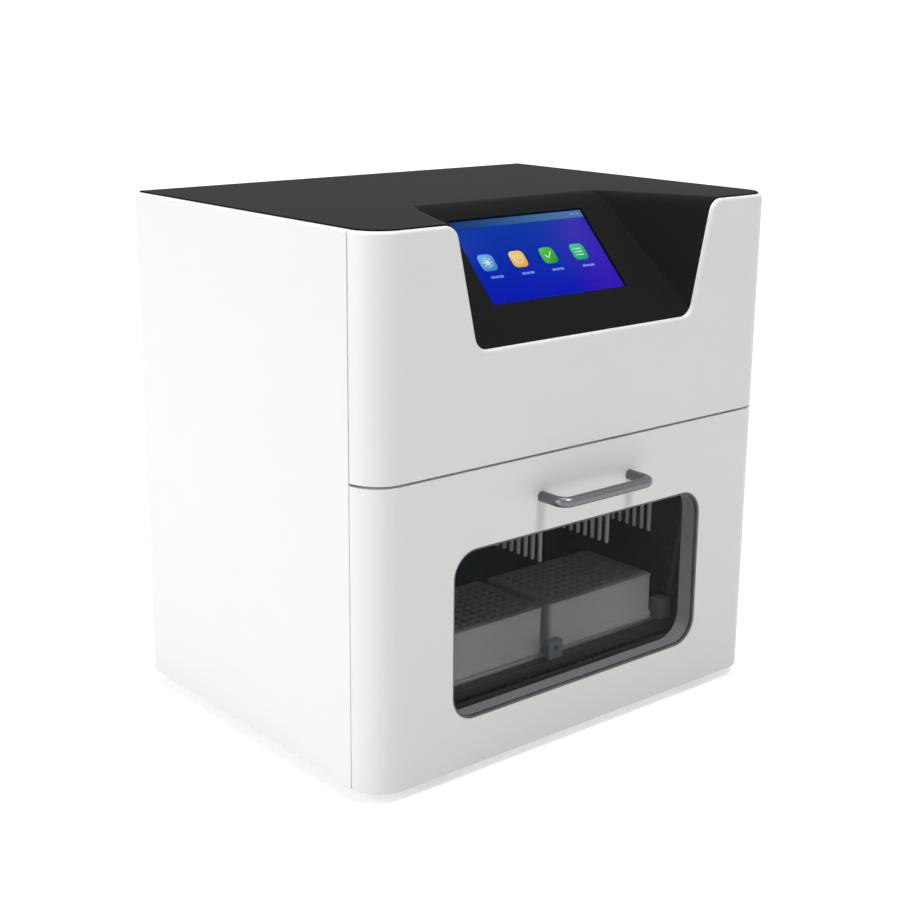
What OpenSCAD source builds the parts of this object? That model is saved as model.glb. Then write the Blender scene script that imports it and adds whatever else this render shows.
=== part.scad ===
/* [Body] */
// Width over the side panels
body_w = 440; // [400:1:528]
// Depth from the front face to the rear panel
body_d = 328; // [300:1:400]
// Height of the white panels
panel_h = 434; // [400:1:520]
// Height of the rubber feet
foot_h = 10; // [8:1:20]
// Radius of the two upright front corners
corner_r = 28; // [26:1:36]
// Wall of the moulded front cover and door
shell_t = 3.5; // [2.5:0.1:4.5]
// Thickness of the side panels
side_t = 4; // [2:0.5:5]
// Thickness of the folded steel sheet inside
sheet_t = 2; // [1.5:0.1:3]
// How far the dark top cover stands above the white rim
lid_rise = 1.2; // [1:0.1:6]
// Height of the seam between door and front cover, above the panel's lower edge
seam_h = 246.7; // [230:0.1:280]
// Open gap at that seam
seam_gap = 2; // [1:0.1:3]

/* [Console] */
// Height of the notch in the front cover
notch_depth = 96; // [80:1:110]
// Width of the notch at its lower edge
notch_low_w = 236; // [200:1:260]
// Width of the notch at the rim
notch_top_w = 280; // [262:1:320]
// Radius of the notch's corners
notch_r = 13; // [6:1:18]
// Depth of the console from front to back
slope_run = 92.5; // [80:0.5:110]
// Width of the console at its rear edge
slope_back_w = 200; // [180:1:220]
// Width of the touch screen
screen_w = 148; // [120:1:165]
// Height of the touch screen along the slope
screen_h = 82; // [60:1:86]
// Distance of the screen from the slope's lower edge
screen_up = 37; // [20:1:38]
// Sideways offset of the screen
screen_x = -4; // [-12:1:12]

/* [Door] */
// Thickness of the door
door_t = 20; // [18:1:22]
// Width of the window
window_w = 282; // [220:1:300]
// Lower edge of the window above the panel's lower edge
window_low = 40.5; // [36:0.5:60]
// Upper edge of the window above the panel's lower edge
window_high = 183; // [150:1:195]
// Corner radius of the window
window_r = 23; // [10:1:30]
// Thickness of the window pane
pane_t = 3; // [2:0.5:4]
// Distance between the handle's feet
handle_w = 100; // [80:1:140]
// Height of the handle above the panel's lower edge
handle_z = 212; // [208:1:225]
// How far the handle stands out of the door
handle_reach = 30; // [24:1:40]
// Radius of the handle's bar
handle_r = 4.4; // [3:0.1:5.5]
// How far the door opens, in degrees
door_open = 78; // [60:1:80]

/* [Plates] */
// Length of a deep-well plate
plate_l = 127.76; // [127:0.01:128.5]
// Width of a deep-well plate
plate_w = 85.48; // [85:0.01:86]
// Height of a deep-well plate
plate_h = 44; // [40:0.5:46]
// Distance between neighbouring wells
well_pitch = 9; // [8.9:0.1:9.1]
// Width of one square well
well_w = 8.2; // [7.8:0.1:8.4]
// Distance between the two plates' centres
plate_pitch = 135; // [131:1:140]
// Underside of the plates above the panel's lower edge
deck_h = 50.4; // [48:0.1:54]
// Distance of the plates from the front face
plate_set = 42; // [40:1:50]

/* [Head] */
// Travel of the head along X
traverse = 63; // [45:9:63]
// Stroke of the sleeve lift
sleeve_stroke = 77; // [60:1:77]
// Stroke of the magnet lift
magnet_stroke = 50; // [30:1:50]
// Outer radius of a rod sleeve
sleeve_r = 2.2; // [2:0.1:2.8]
// Radius of a magnet rod
rod_r = 1.3; // [1:0.1:1.4]
// Running clearance of shafts and pins
run_fit = 0.06; // [0.03:0.01:0.1]
// Free clearance between seated flat faces
seat_fit = 0.3; // [0.1:0.1:0.5]

/* [Hidden] */
$fn = 48;

// Reference planes. The origin lies under the middle of the whole, on the bench.
rear_reach = 2;
front_y = (handle_reach - body_d - rear_reach) / 2;
back_y = front_y + body_d;
half_w = body_w / 2;
in_x = half_w - side_t;
z0 = foot_h;
rim_z = z0 + panel_h;
lid_t = 4;
side_gap = 1;
seam_z = z0 + seam_h;

// Casing
base_t = 3;
base_set = door_t + 2.5;
bulk_y = front_y + base_set;
corner_in = sqrt((corner_r - shell_t) ^ 2 - (corner_r - base_set) ^ 2);
bulk_x = min(half_w - shell_t - 1.5, half_w - corner_r + corner_in - 0.8);
flange = 12;
foot_r = 16;
foot_in = 55;
notch_z = rim_z - notch_depth;
bulk_top = notch_z - 12;
arc_steps = 10;

// Chamber
chamber_x = 172;
chamber_y = bulk_y + sheet_t;
chamber_back = front_y + 200;
floor_z = z0 + 10;
wall_top = z0 + 400;
deck_t = 8;
deck_x = 152;
deck_z = z0 + deck_h;
plate_y = front_y + plate_set;
plate_mid_y = plate_y + plate_w / 2;
plate_top = deck_z + plate_h;
well_cols = 12;
well_rows = 8;
row_span = (well_rows - 1) * well_pitch;

// Console slope
cover_wall = 3;
slope_y = front_y + shell_t + 0.2;
slope_rise = rim_z - notch_z;
slope_ang = atan(slope_rise / slope_run);
cheek_a = (notch_top_w - notch_low_w) / 2 / slope_rise;
cheek_b = (slope_back_w - notch_top_w) / 2 / slope_run;
glass_drop = 0.8;
lcd_t = 6;
lcd_edge = 5;

// Door hinge
axis_y = front_y + 9;
axis_z = z0 + 6;
pin_r = 2.5;
hinge_x = half_w - 70;
eye_w = 10;
knuckle_w = 8;
bracket_w = 16;
hinge_gap = eye_w / 2 + knuckle_w + 2;
screw_hole_r = 2.2;
liner_t = 3;
liner_y = front_y + door_t - liner_t;
liner_low = z0 + 30;
liner_x = half_w - shell_t - 6;
door_low = z0;
door_top = seam_z - seam_gap / 2;

// Gas strut
strut_x = 160;
strut_r = 5;
strut_rod_r = 2.5;
strut_lo = [front_y + 50, z0 + 60];
strut_hi = [front_y + door_t + 6, z0 + 192];
strut_len = norm(strut_hi - strut_lo);
strut_ang = atan2(strut_hi[1] - strut_lo[1], strut_hi[0] - strut_lo[0]);
strut_pin_r = 3;
strut_tube_len = strut_len - 20;

// Head
place_x = [-54, 0, 81, 135];
comb_x = [place_x[1], place_x[2], place_x[3]];
head_x = (place_x[0] + place_x[3]) / 2;
comb_half = 6;
tip_z = z0 + 131;
frame_z = z0 + 187;
frame_t = 6;
head_lo = place_x[0] - 14;
head_hi = place_x[3] + 14;
head_front = plate_mid_y - row_span / 2 - 9;
row_y0 = plate_mid_y - row_span / 2;
upright_y = front_y + 146;
upright_t = 6;
upright_top = z0 + 335;
gantry_y = front_y + 170;
gantry_t = 6;
gantry_low = z0 + 212;
gantry_top = z0 + 350;
gantry_half = 90;
x_rail_z = [z0 + 225, z0 + 335];
x_rail_t = 12;
x_rail_w = 15;
z_rail_x = 60;
z_rail_w = 12;
z_rail_t = 8;
screw_y = front_y + 161;
screw_r = 4;
block_slip = 0.2;
bridge_z = z0 + 262;
bridge_t = 4;
mscrew_y = front_y + 118;
mscrew_r = 3;
guide_dx = 20;
guide_r = 4;
guide_y = plate_mid_y;
magnet_z = frame_z + frame_t + 4;
magnet_t = 8;
pulley_x = 152;
pulley_z = z0 + 280;
pulley_r = 8;
belt_w = 8;
belt_t = 1.5;
belt_y = front_y + 187;
shaft_r = 2.5;

// Rear
rear_t = sheet_t;
fan_x = -130;
fan_z = z0 + 330;
fan_w = 80;
fan_t = 25;
inlet_x = 150;
inlet_z = z0 + 60;
inlet_w = 30;
inlet_h = 66;
board_t = 1.6;
port_x = -60;
port_w = 28;
port_h = 13.4;
port_z = z0 + base_t + 16 + board_t;

// Box between two corners
module box(a, b) {
    translate(a) cube(b - a);
}

// Round bar along X, Y or Z
module bar_x(r, x0, x1, y, z) {
    translate([x0, y, z]) rotate([0, 90, 0]) cylinder(r = r, h = x1 - x0);
}
module bar_y(r, y0, y1, x, z) {
    translate([x, y1, z]) rotate([90, 0, 0]) cylinder(r = r, h = y1 - y0);
}
module bar_z(r, z0, z1, x, y) {
    translate([x, y, z0]) cylinder(r = r, h = z1 - z0);
}

// Rectangle with round corners, centred on X, from y = 0 up
module round_rect(w, h, r) {
    translate([-w / 2 + r, 0]) square([w - 2 * r, h]);
    translate([-w / 2, r]) square([w, h - 2 * r]);
    for (x = [-w / 2 + r, w / 2 - r], y = [r, h - r]) translate([x, y]) circle(r);
}

// Extrudes an upright outline, drawn in X and Z, from y0 to y1
module upright(y0, y1) {
    translate([0, y1, 0]) rotate([90, 0, 0]) linear_extrude(y1 - y0) children();
}

// Plan of a front moulding: flat front, round corners, short side returns
module front_plan(inset, depth) {
    r = corner_r - inset;
    translate([-half_w + corner_r, front_y + inset]) square([body_w - 2 * corner_r, depth - inset]);
    intersection() {
        union() {
            for (s = [-1, 1]) translate([s * (half_w - corner_r), front_y + corner_r]) circle(r, $fn = 96);
        }
        translate([-half_w, front_y]) square([body_w, depth]);
    }
}

// Wrap-round front moulding between two heights
module front_shell(low, high) {
    difference() {
        translate([0, 0, low]) linear_extrude(high - low) front_plan(0, corner_r - side_gap);
        translate([0, 0, low - 1]) linear_extrude(high - low + 2) front_plan(shell_t, corner_r);
    }
}

// Points of an arc from one angle to another
function arc(cx, cz, r, a0, a1) =
    [for (i = [0:arc_steps]) let (a = a0 + (a1 - a0) * i / arc_steps) [cx + r * cos(a), cz + r * sin(a)]];

// Outline of the notch: leaning sides, round inner corners and round lips at the rim
notch_lean = atan((notch_top_w - notch_low_w) / 2 / notch_depth);
notch_in = notch_r * tan((90 - notch_lean) / 2);
function notch_half() = concat(
    arc(notch_low_w / 2 - notch_in, notch_z + notch_r, notch_r, -90, -notch_lean),
    arc(notch_top_w / 2 + notch_in, rim_z - notch_r, notch_r, 180 - notch_lean, 90));
module notch_outline() {
    half = notch_half();
    top = rim_z + 5;
    last = half[len(half) - 1];
    side = concat(half, [[last[0], top]]);
    polygon(concat(side, [for (i = [len(side) - 1:-1:0]) [-side[i][0], side[i][1]]]));
}

// Console planes, moved outwards by t
function slope_at(y, t) =
    notch_z - t * norm([1, slope_rise / slope_run]) + (y - slope_y) * slope_rise / slope_run;
function slope_back(z, t) = slope_y + (z - slope_at(slope_y, t)) * slope_run / slope_rise;
function cheek_at(y, z, t) =
    notch_low_w / 2 + t * norm([1, cheek_a, cheek_b]) + cheek_a * (z - notch_z) + cheek_b * (y - slope_y);
module console_wedge(y1, top, t) {
    low = slope_at(y1, t);
    y2 = slope_back(top, t);
    a = [cheek_at(y1, low, t), y1, low];
    b = [cheek_at(y1, top, t), y1, top];
    c = [cheek_at(y2, top, t), y2, top];
    flip = [-1, 1, 1];
    m = [for (p = [a, b, c]) [for (i = [0:2]) p[i] * flip[i]]];
    polyhedron([a, b, c, m[0], m[1], m[2]], [[0, 1, 2], [3, 5, 4], [0, 3, 4, 1], [1, 4, 5, 2], [0, 2, 5, 3]]);
}

// Places children on the slope: X sideways, Y up the slope, Z out of it
module on_slope() {
    translate([0, slope_y, notch_z]) rotate([slope_ang, 0, 0]) children();
}
module on_screen(edge, lo, hi) {
    on_slope() translate([screen_x - screen_w / 2 - edge, screen_up - edge, lo])
        cube([screen_w + 2 * edge, screen_h + 2 * edge, hi - lo]);
}

// ---- Casing ----
module base_plate() {
    color("silver") {
        box([-bulk_x, bulk_y, z0], [bulk_x, back_y - rear_t, z0 + base_t]);
        box([-in_x, front_y + corner_r, z0], [in_x, back_y - rear_t, z0 + base_t]);
        for (s = [-1, 1])
            box([s > 0 ? in_x - sheet_t : -in_x, bulk_y + 20, z0 + base_t],
                [s > 0 ? in_x : -in_x + sheet_t, back_y - rear_t, z0 + base_t + flange]);
    }
}
module rubber_feet() {
    color("#202020")
        for (x = [-half_w + foot_in, half_w - foot_in], y = [front_y + foot_in, back_y - foot_in])
            difference() {
                translate([x, y, 0]) cylinder(r1 = foot_r - 3, r2 = foot_r, h = foot_h);
                bar_z(4, -1, foot_h - 4, x, y);
            }
}
module side_panel(s) {
    y1 = front_y + corner_r;
    lip_z = rim_z - lid_t + lid_rise;
    color("white") mirror([s > 0 ? 0 : 1, 0, 0]) {
        box([in_x, y1, z0], [half_w, back_y, rim_z]);
        box([in_x - flange, y1, lip_z - sheet_t], [in_x, back_y - rear_t, lip_z]);
        box([in_x - flange, y1, bulk_top], [in_x, y1 + sheet_t, lip_z - sheet_t]);
    }
}
module left_side_panel() {
    side_panel(-1);
}
module right_side_panel() {
    side_panel(1);
}
module rear_panel() {
    slot_w = 4;
    color("white") difference() {
        box([-in_x, back_y - rear_t, z0], [in_x, back_y, rim_z]);
        for (i = [-4:4]) {
            h = 2 * sqrt(36 * 36 - 64 * i * i);
            box([fan_x + 8 * i - slot_w / 2, back_y - 5, fan_z - h / 2],
                [fan_x + 8 * i + slot_w / 2, back_y + 1, fan_z + h / 2]);
        }
        for (i = [0:9])
            box([-80 + 12 * i, back_y - 5, z0 + 150], [-80 + 12 * i + slot_w, back_y + 1, z0 + 200]);
        box([inlet_x - inlet_w / 2, back_y - 5, inlet_z],
            [inlet_x + inlet_w / 2, back_y + 1, inlet_z + inlet_h]);
        box([port_x - port_w / 2 - 1, back_y - 5, port_z - 1],
            [port_x + port_w / 2 + 1, back_y + 1, port_z + port_h + 1]);
    }
}
module rear_screws() {
    color("gray") for (x = [-in_x + 14, in_x - 14], z = [z0 + 20, z0 + panel_h / 2, rim_z - 30])
        bar_y(4, back_y, back_y + rear_reach, x, z);
}
module top_cover() {
    top = rim_z + lid_rise;
    side = in_x - seat_fit;
    color("#333333") difference() {
        union() {
            intersection() {
                translate([0, 0, top - lid_t]) linear_extrude(lid_t) {
                    translate([-side, front_y + corner_r])
                        square([2 * side, body_d - corner_r - rear_t - seat_fit]);
                    front_plan(shell_t + seat_fit, corner_r);
                }
                box([-half_w, slope_y, 0], [half_w, back_y, top]);
            }
            intersection() {
                console_wedge(slope_y - 8, top, cover_wall);
                box([-half_w, slope_y, 0], [half_w, back_y, top]);
            }
            on_slope() translate([screen_x, screen_up + screen_h / 2, -cover_wall - lcd_t])
                for (x = [-1, 1], y = [-1, 1])
                    translate([x * (screen_w / 2 + 11), y * (screen_h / 2 - 6), 0])
                        cylinder(r = 4, h = lcd_t + 1);
        }
        console_wedge(slope_y - 8, top + 4, 0);
        on_screen(0, -cover_wall - 1, 1);
    }
}
module front_cover() {
    low = seam_z + seam_gap / 2;
    color("#f4f4f4") {
        difference() {
            front_shell(low, rim_z);
            upright(front_y - 1, front_y + shell_t + 1) notch_outline();
        }
        translate([0, 0, low]) linear_extrude(2.5) front_plan(shell_t - 0.5, door_t);
    }
}
module front_bulkhead() {
    color("silver") difference() {
        box([-bulk_x, bulk_y, z0 + base_t], [bulk_x, chamber_y, bulk_top]);
        upright(bulk_y - 1, chamber_y + 1) translate([0, z0 + 18]) round_rect(2 * chamber_x, seam_h - 30, 8);
    }
}
module door_seal() {
    color("#202020") difference() {
        upright(front_y + door_t + 0.4, bulk_y)
            translate([0, liner_low + 2]) round_rect(2 * chamber_x + 24, seam_z - 8 - liner_low - 2, 12);
        upright(front_y + door_t - 1, bulk_y + 1)
            translate([0, liner_low + 8]) round_rect(2 * chamber_x + 12, seam_z - 14 - liner_low - 8, 8);
    }
}

// ---- Chamber ----
module chamber_side(s) {
    x = s > 0 ? chamber_x : -chamber_x - sheet_t;
    box([x, chamber_y, floor_z], [x + sheet_t, chamber_back, wall_top]);
}
module chamber_left_wall() {
    color("#3c4347") chamber_side(-1);
}
module chamber_right_wall() {
    color("#3c4347") {
        chamber_side(1);
        bar_x(strut_pin_r, strut_x - strut_r - 1, chamber_x, strut_lo[0], strut_lo[1]);
    }
}
module chamber_back_wall() {
    color("#2f4247") difference() {
        box([-chamber_x - sheet_t, chamber_back, z0 + base_t],
            [chamber_x + sheet_t, chamber_back + sheet_t, wall_top]);
        bar_y(shaft_r + 1, chamber_back - 1, chamber_back + sheet_t + 1, pulley_x, pulley_z);
    }
}
module chamber_floor() {
    color("#3a3f42") box([-chamber_x, chamber_y, floor_z], [chamber_x, chamber_back, floor_z + sheet_t]);
    color("#3a3f42") box([-chamber_x, chamber_y, floor_z],
        [chamber_x, chamber_y + sheet_t, deck_z - deck_t - 1]);
    color("#3a3f42") for (x = [-120, 120], y = [chamber_y + 40, chamber_back - 40])
        bar_z(6, z0 + base_t, floor_z, x, y);
}
module back_post() {
    color("#9aa0a2") box([-70, chamber_back - 8, floor_z + sheet_t], [-60, chamber_back, z0 + 185]);
}
module plate_carrier() {
    lip = 3.4;
    lip_h = 3;
    fit = seat_fit;
    span = plate_pitch + plate_l;
    color("#b8bcbe") difference() {
        union() {
            box([-deck_x, front_y + 30, deck_z - deck_t], [deck_x, plate_y + plate_w + 8, deck_z]);
            box([-span / 2 - fit - lip, plate_y - fit - lip, deck_z],
                [span / 2 + fit + lip, plate_y + plate_w + fit + lip, deck_z + lip_h]);
            for (x = [-deck_x + 10, deck_x - 10], y = [front_y + 40, plate_y + plate_w])
                bar_z(7, floor_z + sheet_t, deck_z - 1, x, y);
        }
        for (s = [-1, 1])
            box([s * plate_pitch / 2 - plate_l / 2 - fit, plate_y - fit, deck_z],
                [s * plate_pitch / 2 + plate_l / 2 + fit, plate_y + plate_w + fit, deck_z + 5]);
    }
}
module heater_block() {
    color("#a8acae") difference() {
        box([-124, plate_y + 6, deck_z - deck_t - 18], [124, plate_y + plate_w - 6, deck_z - deck_t]);
        for (i = [0:19])
            box([-120 + 12 * i, plate_y, deck_z - deck_t - 19],
                [-112 + 12 * i, plate_y + plate_w, deck_z - deck_t - 6]);
    }
}
module well_plate(s) {
    mid = s * plate_pitch / 2;
    skirt = 8;
    inset = 1.2;
    color("#d9dcdc") difference() {
        union() {
            box([mid - plate_l / 2, plate_y, deck_z], [mid + plate_l / 2, plate_y + plate_w, deck_z + skirt]);
            box([mid - plate_l / 2 + inset, plate_y + inset, deck_z],
                [mid + plate_l / 2 - inset, plate_y + plate_w - inset, plate_top]);
        }
        for (i = [0:well_cols - 1], j = [0:well_rows - 1])
            translate([mid + (i - (well_cols - 1) / 2) * well_pitch - well_w / 2,
                row_y0 + j * well_pitch - well_w / 2, deck_z + 2])
                cube([well_w, well_w, plate_h]);
    }
}
module left_well_plate() {
    well_plate(-1);
}
module right_well_plate() {
    well_plate(1);
}
module plate_stops() {
    span = plate_pitch + plate_l;
    color("#6d7376") {
        difference() {
            box([-8, front_y + 30.5, deck_z], [8, plate_y - seat_fit - 3.6, deck_z + 16]);
            bar_y(2.2, front_y + 30, front_y + 34, 0, deck_z + 9);
        }
        for (s = [-1, 1])
            box([s > 0 ? span / 2 + 4.5 : -deck_x + 2, plate_y - 6, deck_z],
                [s > 0 ? deck_x - 2 : -span / 2 - 4.5, row_y0 - sleeve_r - 1, deck_z + 18]);
    }
}
module uv_lamp() {
    color("#e8eef0") {
        bar_x(7.5, -145, 145, chamber_back - 14, z0 + 196);
        for (s = [-1, 1])
            box([s > 0 ? 144 : -160, chamber_back - 24, z0 + 186],
                [s > 0 ? 160 : -144, chamber_back, z0 + 208]);
    }
}

// ---- Console ----
module touch_glass() {
    color("#2038c0") on_screen(-seat_fit, -cover_wall, -glass_drop);
}
module lcd_panel() {
    color("#404448") on_screen(lcd_edge, -cover_wall - lcd_t, -cover_wall);
}
module display_bracket() {
    color("silver") difference() {
        on_screen(18, -cover_wall - lcd_t - 1.5, -cover_wall - lcd_t);
        on_screen(-30, -cover_wall - lcd_t - 3, -cover_wall);
    }
}

// ---- Rear bay ----
module power_supply() {
    color("silver") box([10, chamber_back + 12, z0 + base_t], [140, back_y - 22, z0 + base_t + 38]);
}
module control_board() {
    z = port_z - board_t;
    y1 = chamber_back + 10;
    y2 = back_y - rear_t - 3;
    color("#1f6b3a") {
        box([-170, y1, z], [-20, y2, z + board_t]);
        for (x = [-165, -25], y = [y1 + 6, y2 - 6]) bar_z(3, z0 + base_t, z, x, y);
        box([port_x - port_w / 2, y2 - 20, z + board_t], [port_x + port_w / 2, back_y, port_z + port_h]);
        box([-150, y1 + 20, z + board_t], [-110, y1 + 60, z + 12]);
        box([-90, y1 + 15, z + board_t], [-50, y1 + 25, z + 14]);
    }
}
module power_inlet() {
    c = 0.3;
    lip = 3;
    color("#1c1c1c") difference() {
        union() {
            box([inlet_x - inlet_w / 2 + c, back_y - 34, inlet_z + c],
                [inlet_x + inlet_w / 2 - c, back_y, inlet_z + inlet_h - c]);
            box([inlet_x - inlet_w / 2 - lip, back_y, inlet_z - lip],
                [inlet_x + inlet_w / 2 + lip, back_y + rear_reach, inlet_z + inlet_h + lip]);
        }
        upright(back_y - 18, back_y + 5) translate([inlet_x, inlet_z + 6]) round_rect(24, 17, 2);
        box([inlet_x - 10, back_y - 14, inlet_z + 34], [inlet_x + 10, back_y + 5, inlet_z + 60]);
    }
    color("silver") for (x = [-7, 0, 7])
        box([inlet_x + x - 1, back_y - 19, inlet_z + (x == 0 ? 15 : 11)],
            [inlet_x + x + 1, back_y - 4, inlet_z + (x == 0 ? 19 : 15)]);
    color("silver") bar_x(1.5, inlet_x - 11, inlet_x + 11, back_y - 6, inlet_z + 47);
}
module power_rocker() {
    color("#c02020") translate([inlet_x, back_y - 6, inlet_z + 47]) rotate([8, 0, 0]) difference() {
        rotate([90, 0, 90]) translate([0, 0, -9]) linear_extrude(18)
            polygon([[-4, -3], [-4, 3], [3, 10.5], [6.5, 10.5], [4.5, 0], [6.5, -10.5], [3, -10.5]]);
        bar_x(1.5 + run_fit, -12, 12, 0, 0);
    }
}
module fan_frame() {
    y1 = back_y - rear_t - fan_t;
    y2 = back_y - rear_t;
    color("#262626") {
        difference() {
            box([fan_x - fan_w / 2, y1, fan_z - fan_w / 2], [fan_x + fan_w / 2, y2, fan_z + fan_w / 2]);
            bar_y(fan_w / 2 - 2, y1 - 1, y2 + 1, fan_x, fan_z);
        }
        for (a = [0, 90]) translate([fan_x, 0, fan_z]) rotate([0, a, 0])
            box([-fan_w / 2 + 1, y1, -2], [fan_w / 2 - 1, y1 + 3, 2]);
        bar_y(14, y1, y1 + 3, fan_x, fan_z);
        bar_y(1.5, y1, y1 + 18, fan_x, fan_z);
    }
}
module fan_rotor() {
    y1 = back_y - rear_t - fan_t + 4;
    color("#303030") difference() {
        union() {
            bar_y(15, y1, y1 + 16, fan_x, fan_z);
            for (i = [0:6])
                translate([fan_x, y1 + 8, fan_z]) rotate([0, i * 360 / 7, 0]) translate([13, 0, 0])
                rotate([35, 0, 0]) translate([0, -8, -1]) cube([21, 16, 2]);
        }
        bar_y(1.5 + run_fit, y1 - 1, y1 + 17, fan_x, fan_z);
    }
}

// ---- Door ----
module window_plan(grow) {
    translate([0, z0 + window_low - grow])
        round_rect(window_w + 2 * grow, window_high - window_low + 2 * grow, window_r + grow);
}
module door_shell() {
    lip = 2.5;
    relief_r = corner_r - side_gap - (axis_y - front_y);
    color("#f4f4f4") difference() {
        union() {
            front_shell(door_low, door_top);
            translate([0, 0, door_top - lip]) linear_extrude(lip) front_plan(shell_t - 0.5, door_t);
            translate([0, 0, door_low]) linear_extrude(lip) front_plan(shell_t - 0.5, door_t);
            for (x = [-1, 1], z = [liner_low + 8, (door_low + door_top) / 2, door_top - 14])
                bar_y(5, front_y + shell_t - 0.5, liner_y, x * (liner_x - 10), z);
        }
        upright(front_y - 1, front_y + shell_t + 1) window_plan(0);
        for (x = [-hinge_x, hinge_x])
            box([x - hinge_gap, front_y + shell_t, door_low - 1],
                [x + hinge_gap, front_y + door_t + 1, door_low + lip + 1]);
        for (x = [-handle_w / 2, handle_w / 2])
            bar_y(screw_hole_r, front_y - 1, front_y + shell_t + 1, x, z0 + handle_z);
        difference() {
            box([-half_w - 1, axis_y + 12, z0 - 1], [half_w + 1, front_y + corner_r, axis_z]);
            bar_x(relief_r, -half_w - 2, half_w + 2, axis_y, axis_z);
        }
    }
}
module door_liner() {
    color("#c9cccd") difference() {
        union() {
            upright(liner_y, front_y + door_t)
                translate([0, liner_low]) round_rect(2 * liner_x, door_top - 5 - liner_low, 6);
            upright(front_y + shell_t, liner_y + 1) window_plan(3);
        }
        upright(front_y, front_y + door_t + 1) window_plan(0);
    }
}
module door_window() {
    color("#30343680") upright(front_y + shell_t - pane_t, front_y + shell_t) window_plan(-2);
}
module window_gasket() {
    color("#151515") difference() {
        upright(front_y + shell_t - pane_t - 0.3, front_y + shell_t) window_plan(0);
        upright(front_y - 1, front_y + shell_t + 1) window_plan(-2);
    }
}
module door_handle() {
    bend = 9;
    reach = handle_reach - handle_r;
    x = handle_w / 2;
    z = z0 + handle_z;
    color("silver") {
        bar_x(handle_r, -x + bend, x - bend, front_y - reach, z);
        for (s = [-1, 1]) {
            bar_y(handle_r, front_y - reach + bend, front_y, s * x, z);
            translate([s * (x - bend), front_y - reach + bend, z]) rotate([0, 0, s > 0 ? -90 : 180])
                rotate_extrude(angle = 90) translate([bend, 0]) circle(handle_r);
        }
    }
}
module handle_screws() {
    color("gray") for (x = [-handle_w / 2, handle_w / 2]) {
        bar_y(5, front_y + shell_t, front_y + shell_t + 3, x, z0 + handle_z);
        bar_y(2, front_y, front_y + shell_t, x, z0 + handle_z);
    }
}
module hinge_knuckles() {
    color("gray") for (h = [-hinge_x, hinge_x], s = [-1, 1]) {
        x = s > 0 ? h + eye_w / 2 + 0.5 : h - eye_w / 2 - 0.5 - knuckle_w;
        difference() {
            union() {
                bar_x(pin_r + 2, x, x + knuckle_w, axis_y, axis_z);
                box([x, front_y + shell_t, axis_z - 3.2], [x + knuckle_w, axis_y, axis_z + 4.5]);
            }
            bar_x(pin_r + run_fit, x - 1, x + knuckle_w + 1, axis_y, axis_z);
        }
    }
}
module hinge_brackets() {
    color("gray") for (h = [-hinge_x, hinge_x]) difference() {
        union() {
            bar_x(pin_r + 2.2, h - eye_w / 2, h + eye_w / 2, axis_y, axis_z);
            box([h - eye_w / 2, axis_y, axis_z - 3], [h + eye_w / 2, bulk_y, axis_z + 3]);
            box([h - bracket_w / 2, bulk_y - 2.2, z0 + 1], [h + bracket_w / 2, bulk_y, axis_z + 12]);
        }
        bar_x(pin_r, h - eye_w, h + eye_w, axis_y, axis_z);
    }
}
module hinge_pins() {
    span = eye_w / 2 + knuckle_w + 1;
    color("silver") for (h = [-hinge_x, hinge_x]) bar_x(pin_r, h - span, h + span, axis_y, axis_z);
}
module catch_magnets() {
    color("gray") for (x = [-150, 150])
        box([x - 9, liner_y - 6, door_top - 16], [x + 9, liner_y, door_top - 8]);
}
module strut_bracket() {
    x = strut_x + strut_r + 1;
    y = front_y + door_t;
    color("gray") {
        box([x, y, strut_hi[1] - 14], [x + 8, y + 1.5, strut_hi[1] + 14]);
        box([x, y, strut_hi[1] - 5], [x + 2, strut_hi[0] + 4, strut_hi[1] + 5]);
    }
}
module along_strut() {
    translate([strut_x, strut_lo[0], strut_lo[1]]) rotate([strut_ang - 90, 0, 0]) children();
}
module strut_tube() {
    color("#303234") difference() {
        union() {
            along_strut() translate([0, 0, 4]) cylinder(r = strut_r, h = strut_tube_len);
            bar_x(6, strut_x - 3.5, strut_x + 3.5, strut_lo[0], strut_lo[1]);
        }
        bar_x(strut_pin_r + run_fit, strut_x - 8, strut_x + 8, strut_lo[0], strut_lo[1]);
        along_strut() translate([0, 0, 8]) cylinder(r = strut_rod_r + run_fit, h = strut_tube_len);
    }
}
module strut_rod() {
    color("silver") {
        along_strut() translate([0, 0, 10]) cylinder(r = strut_rod_r, h = strut_len - 10);
        bar_x(5, strut_x - 3.5, strut_x + 3.5, strut_hi[0], strut_hi[1]);
    }
}

// ---- Traverse drive ----
module x_rails() {
    color("silver") for (z = x_rail_z)
        box([-chamber_x + 6, chamber_back - x_rail_t, z - x_rail_w / 2],
            [chamber_x - 6, chamber_back, z + x_rail_w / 2]);
}
module x_bearings() {
    half = 17;
    s = block_slip;
    color("#8a8f92") for (z = x_rail_z, x = [head_x - 70, head_x + 70]) difference() {
        box([x - half, gantry_y + gantry_t, z - 13.5], [x + half, chamber_back - 6, z + 13.5]);
        box([x - half - 1, chamber_back - x_rail_t - s, z - x_rail_w / 2 - s],
            [x + half + 1, chamber_back, z + x_rail_w / 2 + s]);
    }
}
module belt_loop(r0, r1) {
    rotate([90, 0, 0]) linear_extrude(belt_w) difference() {
        union() {
            translate([-pulley_x, -r1]) square([2 * pulley_x, 2 * r1]);
            for (x = [-pulley_x, pulley_x]) translate([x, 0]) circle(r1);
        }
        translate([-pulley_x, -r0]) square([2 * pulley_x, 2 * r0]);
        for (x = [-pulley_x, pulley_x]) translate([x, 0]) circle(r0);
    }
}
module x_belt() {
    color("#181818") translate([0, belt_y + belt_w, pulley_z])
        belt_loop(pulley_r + seat_fit, pulley_r + seat_fit + belt_t);
}
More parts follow.
